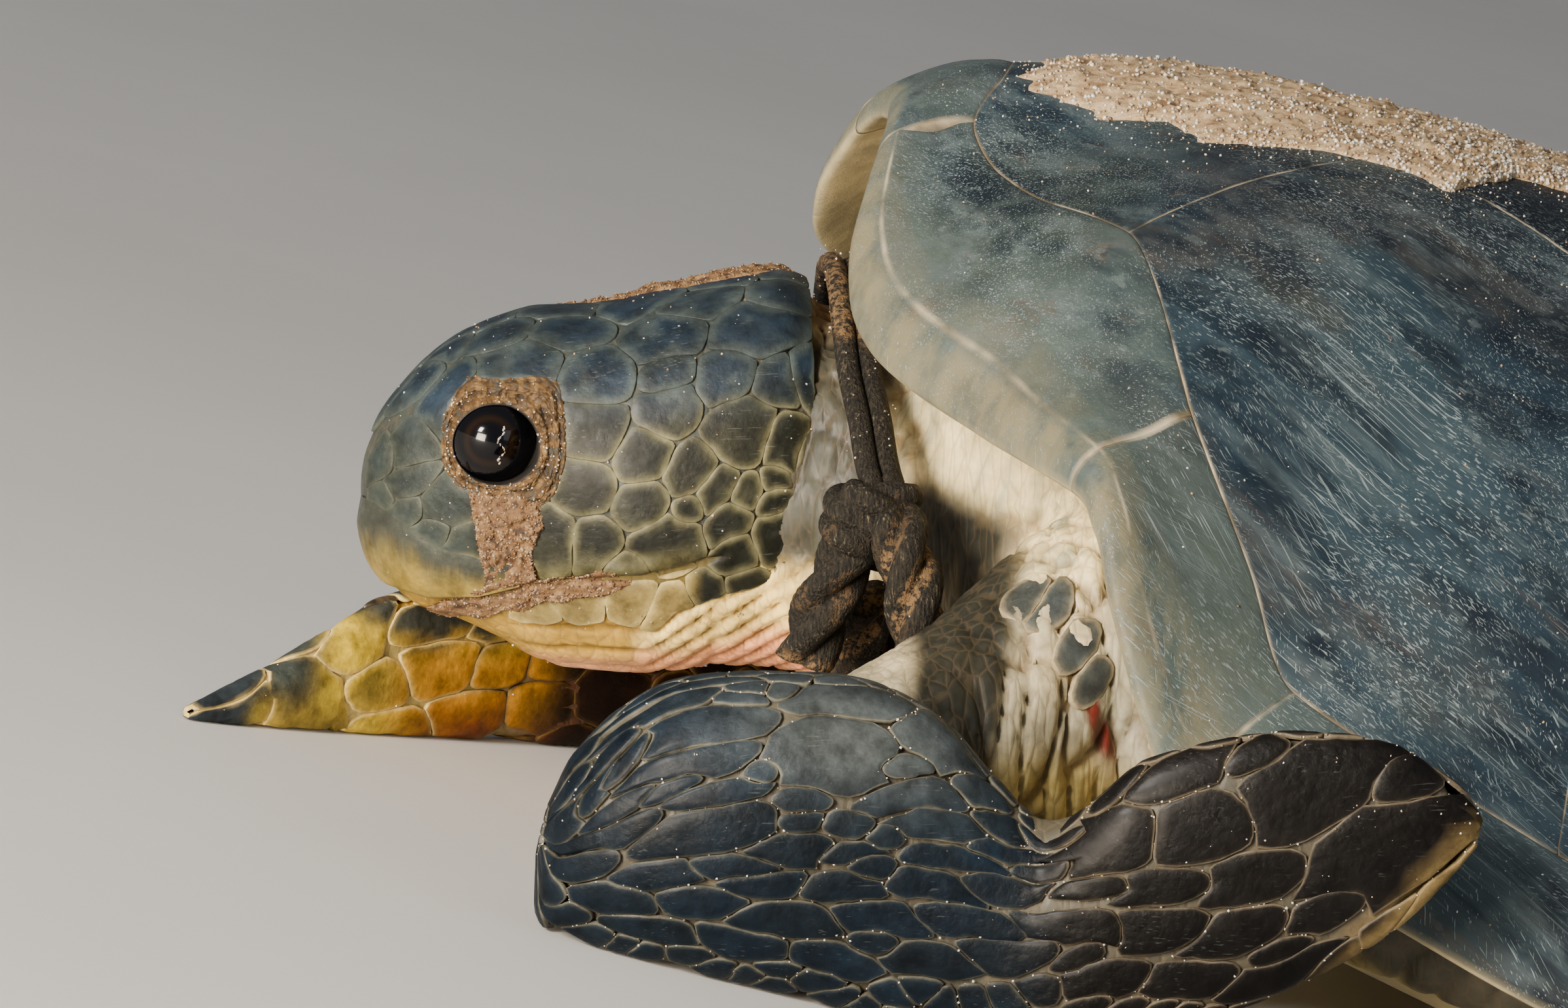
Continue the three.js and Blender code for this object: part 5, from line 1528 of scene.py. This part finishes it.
def folds(points):
    """How far the skin stands out, and how deep in a crease it lies: long rounded folds with sharp creases
    down the shoulder, wrinkles round the neck, and folds that sweep from the jaw back to the rope."""
    x, y, z = points.T
    along, _, up = head_axes(points)
    off_face = 1 - soft(along, 6, 20) * soft(x, -0.7, -0.73)
    limb = soft(np.abs(y), 0.3, 0.285)
    wander = np.stack([noise(points, 0.03, seed, 2) for seed in (34, 35, 36)], -1)
    cell = crackle(points + 0.005 * wander, 0.013, 7.0, DOWN_FOLDS, 1)
    across = crackle(points + 0.006 * wander, 0.02, 3.5, (0.55, -0.45, -0.7), 6)
    fine = crackle(points, 0.006, 2.6, DOWN_FOLDS, 2)
    front = soft(x, -0.65, -0.622) * soft(x, -0.5, -0.54) * soft(y, -0.02, -0.09) * soft(z, 0.205, 0.188)
    loose = 0.3 * soft(x, -0.72, -0.66) * soft(x, 0.2, 0.1) * off_face
    shoulder = np.maximum(front, loose) * limb
    deep = np.maximum(bell(cell, 0.07), 0.35 * bell(across, 0.05) * soft(z, 0.17, 0.12))
    height = shoulder * (0.003 * np.sqrt(np.clip(cell / 0.42, 0, 1)) - 0.0022 * deep - 0.0012)
    wrinkled = off_face * limb
    behind = soft(x, -0.74, -0.715) * soft(x, -0.655, -0.67) * off_face * soft(z, 0.12, 0.15)
    ring = crackle(points, 0.011, 3.5, (0.1, 0.3, -0.95), 3)
    slope = up - 0.75 * np.clip(58 - along, 0, 100) + 1.8 * noise(points, 0.035, 30, 2)
    back = soft(x, -0.655, -0.672)
    jaw = soft(along, 122, 96) * soft(from_line(along, up, MOUTH), -9, -15) * soft(along, 26, 34)
    jaw = np.maximum(jaw, soft(along, 34, 20) * soft(up, -8, -18)) * back * soft(np.abs(y), 0.125, 0.11)
    fold = np.abs((slope / 9.0) % 1 - 0.5) * 2
    line = fold ** 7
    below = soft(PLATE_FOOT(along) - up, -1, 5)
    crossing = crackle(points, 0.009, 3.0, unit(ALONG + 0.5 * UP), 5)
    wall = soft(x, -0.5, -0.46) * soft(x, 0.3, 0.2)
    waves = 1 - np.abs(np.sin(TAU * (x / 0.03 + noise(points, 0.05, 30, 2))))
    height = (height - 0.0003 * bell(fine, 0.1) * wrinkled - 0.0024 * behind * bell(ring, 0.12) + 0.0026 * jaw
        * (np.sqrt(np.clip(1 - fold ** 2, 0, 1)) + below - 1 - line) - 0.0004 * jaw * bell(crossing, 0.1)
        - wall * 0.003 * waves ** 2)
    crease = np.maximum.reduce([shoulder * deep, 0.22 * bell(fine, 0.06) * wrinkled, behind * bell(ring, 0.1),
        jaw * line, 0.25 * jaw * bell(crossing, 0.06)])
    return height + 0.0002 * noise(points, 0.006, 33, 2), np.clip(crease, 0, 1)


# ---- the coat

NEAR_PLATES = [[-754, 117, 27, 2.8, 12], [-768, 104, 23, 3.6, 32], [-740, 116, 10, 3.6, 9],
    [-725, 123, 7, 5.0, 14], [-787, 79, 22, 3.5, 56], [-754, 100, 23, 8.4, 20], [-783, 74, 21, 3.5, 54],
    [-756, 86, 23, 6.7, 24], [-726, 91, 6, 4.3, 14], [-789, 64, 20, 3.9, 56], [-762, 74, 16, 3.9, 38],
    [-743, 77, 20, 4.3, 26], [-776, 62, 17, 4.3, 48], [-796, 52, 12, 4.7, 62], [-778, 50, 19, 6.0, 38],
    [-742, 62, 27, 8.0, 24], [-708, 62, 16, 6.6, 18], [-708, 84, 9, 4.7, 14], [-707, 75, 8, 4.3, 14],
    [-687, 79, 9, 4.7, 9], [-672, 77, 8, 4.7, 28], [-684, 68, 14, 3.9, 18], [-699, 105, 23, 12.4, 16],
    [-692, 128, 26, 7.8, 12], [-661, 120, 16, 11, -6], [-670, 107, 12, 3.9, 24], [-660, 98, 22, 5.5, 22],
    [-641, 103, 10, 6.3, 14], [-650, 88, 20, 5.9, 19], [-628, 93, 12, 5.5, 4], [-645, 76, 17, 4.3, 16],
    [-622, 85, 17, 3.5, 16], [-607, 92, 12, 2.7, 22], [-729, 50, 20, 4.7, 18], [-755, 38, 20, 5.5, 26],
    [-786, 36, 13, 5.5, 44], [-715, 46, 18, 5.5, 16], [-684, 54, 17, 5.5, 12], [-650, 63, 18, 5.0, 8],
    [-618, 70, 17, 4.6, 14], [-772, 24, 17, 6.0, 24], [-738, 33, 18, 6.0, 16], [-702, 34, 19, 6.5, 10],
    [-666, 44, 18, 6.0, 6], [-632, 52, 17, 5.4, 6], [-752, 14, 18, 6.0, 10], [-716, 18, 18, 6.5, 4],
    [-680, 22, 18, 6.5, 2], [-645, 32, 17, 6.0, 2], [-612, 42, 16, 5.4, 4], [-583, 100, 16, 11.9, 14],
    [-562, 134, 19, 8.1, 34], [-536, 149, 13, 5.5, 39], [-547, 116, 23, 12.3, 24], [-513, 140, 34, 15.6, 37],
    [-476, 153, 15, 7.1, 46], [-476, 127, 38, 16.4, 40], [-523, 102, 20, 9.7, 18], [-557, 89, 17, 5.8, 18],
    [-584, 81, 13, 3.6, 14], [-606, 80, 10, 3.9, 28], [-585, 62, 16, 5.5, 12], [-555, 70, 17, 6.5, 16],
    [-522, 80, 19, 7.5, 22], [-494, 96, 17, 7.5, 30], [-540, 52, 18, 6.5, 16], [-508, 62, 18, 7.0, 24],
    [-572, 44, 17, 6.0, 10]]
FAR_PLATES = [[-840, 55, 18, 7.1, 6], [-874, 46, 17, 10, 50], [-890, 14, 19, 15, -36], [-922, 4, 19, 7, 40],
    [-861, 22, 14, 8.6, 14], [-832, 33, 16, 11, 14], [-807, 36, 14, 10, 14], [-846, 2, 20, 10, 14],
    [-814, 12, 20, 12, 14], [-785, 19, 16, 12, 14], [-808, 57, 15, 7, 10], [-780, 62, 15, 9, 8],
    [-780, 41, 14, 9, 10], [-752, 30, 15, 14, 8], [-750, 62, 15, 12, 8]]
SHOULDER_SCALES = [[-598, 182, 5, 7.5, 10], [-595, 168, 5.5, 7, 14], [-590, 155, 5, 7, 8],
    [-585, 142, 4.6, 7, 10]]


FLOOR_GAP = 0.0015


def floored(place):
    """Places whose height is held just over the floor, pressed nearly flat below that."""
    place = place.copy()
    under = np.maximum(FLOOR_GAP - place[..., 2], 0)
    place[..., 2] += 0.95 * under
    return place


def coat():
    """Horn scales on the limbs: large plates down each leading edge and smaller ones behind. Gives back
    the places along the edges of the left flipper's plates."""
    big = face_seeds(LEFT_FLIPPER, NEAR_PLATES, -1)
    small = hex_seeds(LEFT_HIDE, 0.004, 0.015, big, 1.5, 1.7, -8)
    near = horn_plates((0.004, 0.009, 0.016), (0.01, 0.017, 0.024), (0.14, 0.13, 0.095), 0.0006, 0.4,
        (0.0006, 0.0036))
    blade = horn_plates((0.003, 0.0024, 0.0022), (0.006, 0.005, 0.0042), (0.15, 0.12, 0.08), 0.0006, 0.4)

    def near_colours(points, edge, number):
        x, z = points[..., 0], points[..., 2]
        colour = mix(near(points, edge, number), blade(points, edge, number), soft(x + 0.3 * z, -0.6, -0.57))
        rim = x - 0.55 * (z - 0.12) + 0.006 * noise(points, 0.02, 55, 2)
        margin = soft(rim, -0.462, -0.446) * soft(z, 0.175, 0.165)
        worn = bell(np.hypot((x + 0.69) / 0.05, (z - 0.116) / 0.022), 1)
        return painted(colour * (0.6 + 0.4 * soft(z, 0.07, 0.1))[..., None], ((0.075, 0.085, 0.082), 0.7
            * worn * soft(edge, 0.0, 0.002)), ((0.26, 0.18, 0.07), 0.85 * margin))

    seams = scales("left_flipper_scales", LEFT_HIDE, chained(big, small), WET_PLATE, near_colours,
        (0.02, 0.02, 1.2), [1, 0.985, 0.95, 0.88, 0.7, 0.4], 32, 0.0003, 0.0008, wave=0.0011)
    big = face_seeds(RIGHT_FLIPPER, FAR_PLATES, 1)
    small = hex_seeds(RIGHT_HIDE, 0.03, 0.021, big, 1.4, 1.4)

    # painted light and shade: the far flipper's plates are yellow where light is painted shining through
    # them, going amber, dark red-brown and near black toward the bottom and the shoulder where the head's
    # shade is painted, the seams darkening the same way; the dark grey top and the dark tip are their own
    # colour
    def far_lit_and_shaded_colours(points, edge, number):
        x, z = points[..., 0], points[..., 2]
        cloud = noise(points, 0.02, 56, 3)
        high = (z - 0.034) / 0.036 + 0.25 * cloud + 0.3 * (number - 0.5)
        plate = painted((0.6, 0.42, 0.028), ((0.34, 0.23, 0.028), soft(cloud, -0.2, 0.4)),
            ((0.52, 0.24, 0.012), soft(x, -0.865, -0.835) * soft(high, 0.6, 0.1)),
            ((0.13, 0.034, 0.004), soft(high, -0.1, -0.9) * soft(x, -0.87, -0.81)),
            ((0.014, 0.005, 0.002), soft(x, -0.805, -0.768)), ((0.034, 0.036, 0.028), soft(high, 0.22, 0.52)
            * soft(x, -0.795, -0.82)))
        core = 0.6 * soft(edge, 0.001, 0.006) * soft(number, 0.2, 0.8)
        seam = mix((0.62, 0.46, 0.16), (0.1, 0.055, 0.016), soft(x, -0.84, -0.79))
        return painted(plate, (plate * np.array([0.45, 0.5, 0.8]), core), ((0.034, 0.04, 0.034),
            soft(x, -0.88, -0.898) * soft(high, -0.7, -0.1)), ((0.02, 0.026, 0.03), soft(x, -0.905, -0.92)),
            (seam, bell(edge, 0.0009)))

    scales("right_flipper_scales", RIGHT_HIDE, chained(big, small), WET_PLATE, far_lit_and_shaded_colours, (0.02, 0.3, 1.2),
        [1, 0.985, 0.95, 0.85, 0.6, 0.3], 28, 0.0003, 0.0008, wave=0.001)
    slate = horn_plates((0.034, 0.04, 0.04), (0.07, 0.072, 0.058), (0.34, 0.27, 0.16), 0.001)
    scales("left_arm_scales", limb_hide(LEFT_ARM, 200, 300, 1.0), face_seeds(LEFT_ARM, SHOULDER_SCALES, 1),
        PLATE, slate, (0.02, 0.55, 0.6), [1, 0.95, 0.8, 0.5], 20, height=0.0003, wave=0.002, patch=0.003,
        roomy=1.6, sink=0.004)
    hide = limb_hide(RIGHT_ARM, 200, 300)
    brown = horn_plates((0.03, 0.026, 0.018), (0.06, 0.052, 0.034), (0.24, 0.19, 0.1), 0.0009)
    scales("right_arm_scales", hide, hex_seeds(hide, 0.02, 0.0125, short=0.01), PLATE, brown,
        (0.02, 0.55, 0.6), [1, 0.75], 10, 0.001, 0.0008, wave=0.0004, patch=0.003)
    olive = horn_plates((0.03, 0.034, 0.03), (0.06, 0.064, 0.048), (0.24, 0.22, 0.14), 0.001)
    for word, side in (("left", 1), ("right", -1)):
        hide = limb_hide(hind_stations(side), 200, 300)
        scales(f"{word}_hind_flipper_scales", hide, hex_seeds(hide, 0.03, 0.016, stretch=1.3), PLATE, olive,
            (0.02, 0.02, 1.2), [1, 0.95, 0.8, 0.45], 16, height=0.001)
    return seams


DRY_SAND = np.array([[0.4, 0.27, 0.14], [0.56, 0.41, 0.25], [0.16, 0.09, 0.045]])
DAMP_SAND = np.array([[0.15, 0.074, 0.027], [0.25, 0.145, 0.062], [0.045, 0.022, 0.009]])


GRAIN_LIFT = 0.0003
GRAIN_TINTS = np.array([[0.74, 0.7, 0.62], [0.6, 0.5, 0.36], [0.46, 0.3, 0.16], [0.24, 0.15, 0.09]])


def grain_parts(places, size, pale, shade=1.0):
    """Sand grains: an eight-sided stone at each place, squashed and turned at random; pale is how far
    toward white their tints lie, and shade darkens them."""
    count = len(places)
    corners = chained(np.eye(3), -np.eye(3))
    one = np.array([[0, 1, 2], [1, 3, 2], [3, 4, 2], [4, 0, 2], [1, 0, 5], [3, 1, 5], [4, 3, 5], [0, 4, 5]])
    first = unit(rng.normal(size=(count, 3)))
    second = unit(np.cross(first, rng.normal(size=(count, 3))))
    axes = np.stack([first, second, np.cross(first, second)], 1)
    squash = rng.uniform(0.55, 1.0, (count, 3)) * np.asarray(size)[:, None]
    local = np.einsum("kj,nj,nji->nki", corners, squash, axes)
    points = places[:, None] + local
    faces = (one[None] + 6 * np.arange(count)[:, None, None]).reshape(-1, 3)
    kind = np.clip((rng.random(count) ** pale * 4).astype(int), 0, 3)
    tint = np.repeat((shade * GRAIN_TINTS[kind] * rng.uniform(0.8, 1.15, (count, 1)))[:, None], 6, axis=1)
    uv = 0.1 + places[:, None, :2] * 0.5 + local[..., :2] * (0.0015 / 0.001)
    return points.reshape(-1, 3), [faces], {"tint": tint.reshape(-1, 3), "uv": uv.reshape(-1, 2)}


def sand_piece(name, parts):
    points, faces, values = joined(parts)
    return add_piece(new_mesh(name, points, faces, None, values["tint"], values["uv"], False), SAND)


def crust(name, place, outline, thick, grains, around=240, rings=46, size=(0.6, 1.5), tints=DAMP_SAND):
    """Damp sand clinging in a low mound inside an outline: its height is the thickness times the root of
    one less the sixth power of the share of the way out, broken up by grains."""
    edge = evenly(np.array(outline, float) * MM, around)
    middle = edge.mean(axis=0)
    run = np.arange(around) / around * TAU
    circle = stacked(np.cos(run), np.sin(run), 0 * run)
    damp = tints is DAMP_SAND
    notch, lump, shade = (0.05, 0.01, (0.8, np.array([0.52, 0.42, 0.32]))) if damp else (0.022, 0.018,
        (1.5, 1.0))
    ragged = 1 + 0.06 * noise(8 * circle, 1.0, 80, 3) + notch * noise(30 * circle, 1.0, 85, 2)
    share = chained([1.0, 1.0], 1 - (np.arange(1, rings) / rings) ** 1.35)
    plan = middle + (edge - middle) * (ragged * share[:, None])[..., None]
    flat = place(plan[..., 0], plan[..., 1], 0.0)
    dome_of = np.sqrt(np.clip(1 - share ** 6, 0, 1))[:, None]
    lumps = 0.62 + 0.42 * noise(flat, lump, 81, 3)
    grit = 0.0018 * noise(flat, 0.0042, 82, 2) + 0.0011 * noise(flat, 0.0022, 83, 1)
    lift = dome_of * (thick * lumps + grit) - 0.002 * (np.arange(rings + 1) == 0)[:, None]
    top = place(plan[..., 0], plan[..., 1], lift)
    hub, under = (place(middle[:1], middle[1:], np.array([high])) for high in (thick * 0.72, -0.002))
    count, ring = (rings + 1) * around, np.arange(around)
    points = chained(top.reshape(-1, 3), hub.reshape(-1, 3), under.reshape(-1, 3))
    faces = turned_out(points, [lattice(rings + 1, around), fan(ring + rings * around, count),
        fan(ring, count + 1, False)])
    speck = noise(points, 0.003, 84, 2)
    tint = painted(tints[0], (tints[1], soft(speck, 0.0, 0.4)), (tints[2], soft(speck, -0.26, -0.48)))
    pick = rng.integers(1, rings + 1, grains), rng.integers(0, around, grains)
    spots = top[pick][rng.random(grains) < share[pick[0]] + 0.05]
    stones = grain_parts(spots + np.array([0, 0, 0.0002]), rng.uniform(*size, len(spots)) * MM, *shade)
    sand_piece(name, [(points, faces, {"tint": tint, "uv": 0.1 + points[:, :2] * 0.5}), stones])


SHELL_SAND = [[51, 32], [74, 48], [83, 53], [110, 53], [128, 72], [163, 73], [182, 78], [218, 91], [227, 98],
    [239, 86], [260, 59], [286, 54], [340, 70], [400, 60], [450, 30], [470, 0], [440, -40], [380, -75],
    [300, -90], [220, -85], [140, -60], [90, -40], [60, -5]]
CROWN_SAND = [[-6, -4], [12, 6], [36, 4], [60, -6], [84, -14], [100, -24], [94, -40], [60, -50], [20, -54],
    [-6, -48]]
TEAR_SAND = [[136, 7], [128, 9], [116, 9], [106, 5], [104, -6], [109, -18], [107, -30], [116, -37],
    [128, -39], [131, -22], [134, -6]]
MOUTH_SAND = [[153, -50], [147, -45], [140, -43], [132, -37], [125, -37], [116, -31], [108, -32], [98, -28],
    [88, -28], [80, -24], [72, -26], [66, -30], [76, -36], [86, -36], [94, -40], [103, -40], [112, -46],
    [121, -46], [130, -52], [140, -51], [147, -56]]


def on_shell(s, w, lift):
    return shell_swell(to_model(s, w, dome(s, w) + lift))


def on_crown(along, out, lift):
    """Places on top of the head from millimetres along it and out from its middle."""
    along, out = along / MM, out / MM
    level = head_level(along)
    share = np.clip(np.abs(out) / HEAD_OUT(along), 0, 1) ** (1 / 0.82)
    up = level + (CROWN(along) - level) * np.sqrt(1 - share ** 2) ** 0.9
    return on_head(along, out, up) + np.asarray(lift)[..., None] * UP


def on_cheek(along, up, lift):
    """Places on the left side of the face from millimetres along it and up."""
    along, up = along / MM, up / MM
    out = head_out(along, up) + face_relief(along, 50 + 0 * along, up)
    return on_head(along, out + np.asarray(lift) / MM, up)


def scattered(hide, count, first=0.0, last=1.0):
    """Random places on a hide, anywhere along it, between two shares of the way round."""
    return hide.at(rng.uniform(0.0, hide.along[-1], count), rng.uniform(first, last, count), GRAIN_LIFT)


def sand():
    """Sand clinging to the animal: a crust on top of the shell and thin patches on the crown, under the eye
    and along the mouth, and grains scattered on the shell, head, flippers and rope."""
    crust("shell_top_sand", on_shell, SHELL_SAND, 0.008, 11000, 420, 80, (0.6, 1.6), DRY_SAND)
    crust("crown_sand", on_crown, CROWN_SAND, 0.0028, 1600, 200, 34, (0.4, 0.9))
    crust("tear_sand", on_cheek, TEAR_SAND, 0.0032, 1500, 160, 26, (0.4, 1.1))
    crust("mouth_sand", on_cheek, MOUTH_SAND, 0.0034, 1500, 220, 22, (0.4, 1.1))
    t, share = rng.uniform(-1, 12, 1500), np.sqrt(rng.random(1500))
    side = rng.choice([-1.0, 1.0], 1500)
    spine, seam = np.interp(t, RAY, SPINE_LINE), on(SEAM_LINE, t)
    places = [on_shell(spine + share * (seam[:, 0] - spine), side * share * seam[:, 1], GRAIN_LIFT)]
    edge = evenly(np.array(SHELL_SAND) * MM, 900)
    away = unit(edge - edge.mean(axis=0)) * rng.exponential(0.014, (900, 1))
    near = edge + away + rng.normal(0, 0.004, (900, 2))
    places.append(on_shell(near[:, 0], near[:, 1], GRAIN_LIFT))
    t, part, side = rng.uniform(0, 12, 420), rng.uniform(0.05, 0.92, 420), rng.choice([-1.0, 1.0], 420)
    s, w, h = brim(t, part)
    places.append(shell_swell(to_model(s, side * w, h + GRAIN_LIFT)))
    places += [scattered(LEFT_HIDE, 420), scattered(LEFT_HIDE, 260, 0.25, 0.6)]
    places.append(LEFT_SEAMS[rng.integers(0, len(LEFT_SEAMS), 1500)] + rng.normal(0, 0.0003, (1500, 3)))
    places.append(scattered(RIGHT_HIDE, 160))
    face = HEAD_HIDE.at(rng.uniform(0.0, 0.185, 420), rng.uniform(0.0, 1.0, 420), GRAIN_LIFT)
    a, _, up = head_axes(face)
    places.append(face[np.hypot(a - EYE[0], up - EYE[2]) > 30])
    places.append(LIDS[0][rng.integers(0, len(LIDS[0]), 220)])
    up = np.linspace(-8, 8, 30)
    a = 1.3 * np.sin(up * 0.7) - 3 + rng.normal(0, 0.25, 30)
    out = np.sqrt((1.035 * BALL_RADIUS) ** 2 - a ** 2 - up ** 2)
    places.append(on_head(BALL[0] + a, BALL[1] + out, BALL[2] + up))
    near_rope = smooth_path(ROPE_ROUTE, 500)[rng.integers(0, 500, 420)]
    places.append(near_rope + unit(rng.normal(size=(420, 3))) * ROPE_DIAMETER * 0.47)
    places = np.concatenate(places)
    places = places[places[:, 2] > 0.002]
    size = rng.uniform(0.35, 0.8, len(places)) ** 1.5 * 1.25 * MM
    sand_piece("scattered_sand", [grain_parts(places, size, 2.6)])


LEFT_HIDE, RIGHT_HIDE = limb_hide(LEFT_FLIPPER), limb_hide(RIGHT_FLIPPER)
shell()
skin()
HEAD_HIDE = head_hide()
head_plates(HEAD_HIDE)
LEFT_SEAMS = coat()
LIDS = [eye(word, side) for word, side in (("left", 1), ("right", -1))]
beak()
sand()
claw("left_claw", (-0.577, -0.367, 0.008), -10)
claw("right_claw", (-0.869, 0.012, 0.06), 217, (0.0035, 0.016))
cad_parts["plastron"].data.materials.clear()
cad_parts["plastron"].data.materials.append(PLASTRON)

# ---- floor and light


def floor():
    mesh = bpy.data.meshes.new("floor")
    far = 60.0
    mesh.from_pydata([(-far, -far, 0), (far, -far, 0), (far, far, 0), (-far, far, 0)], [], [(0, 1, 2, 3)])
    pale = ((0.7, 0.68, 0.65), (0.76, 0.74, 0.71))
    mesh.materials.append(plain_finish("plain_pale_floor", pale, 1.2, 0.8, 0.0002))
    piece = bpy.data.objects.new("floor", mesh)
    bpy.context.scene.collection.objects.link(piece)


def lamp(name, place, aim, size, power, colour=(1, 1, 1), spread=180):
    data = bpy.data.lights.new(name, "AREA")
    data.size, data.energy, data.color, data.spread = size, power, colour, np.radians(spread)
    ahead = unit(np.array(aim, float) - np.array(place, float))
    right = unit(np.cross(ahead, [0, 0, 1.0]))
    placed(name, data, place, right, np.cross(right, ahead), ahead)


floor()
lamp("key", (-3.6, -3.0, 1.8), (-0.5, 0, 0.2), 0.9, 270, (1.0, 0.94, 0.85))
lamp("bounce", (-2.0, -1.75, 0.12), (-0.8, -0.02, 0.08), 0.9, 16, (1.0, 0.86, 0.68), 60)
lamp("fill", (2.6, -4.0, 2.6), (-0.4, 0, 0.2), 3.0, 30, (0.9, 0.95, 1.0))
world = bpy.data.worlds.new("pale_room")
world.use_nodes = True
world.node_tree.nodes["Background"].inputs["Color"].default_value = (0.78, 0.8, 0.83, 1)
world.node_tree.nodes["Background"].inputs["Strength"].default_value = 0.29
bpy.context.scene.world = world
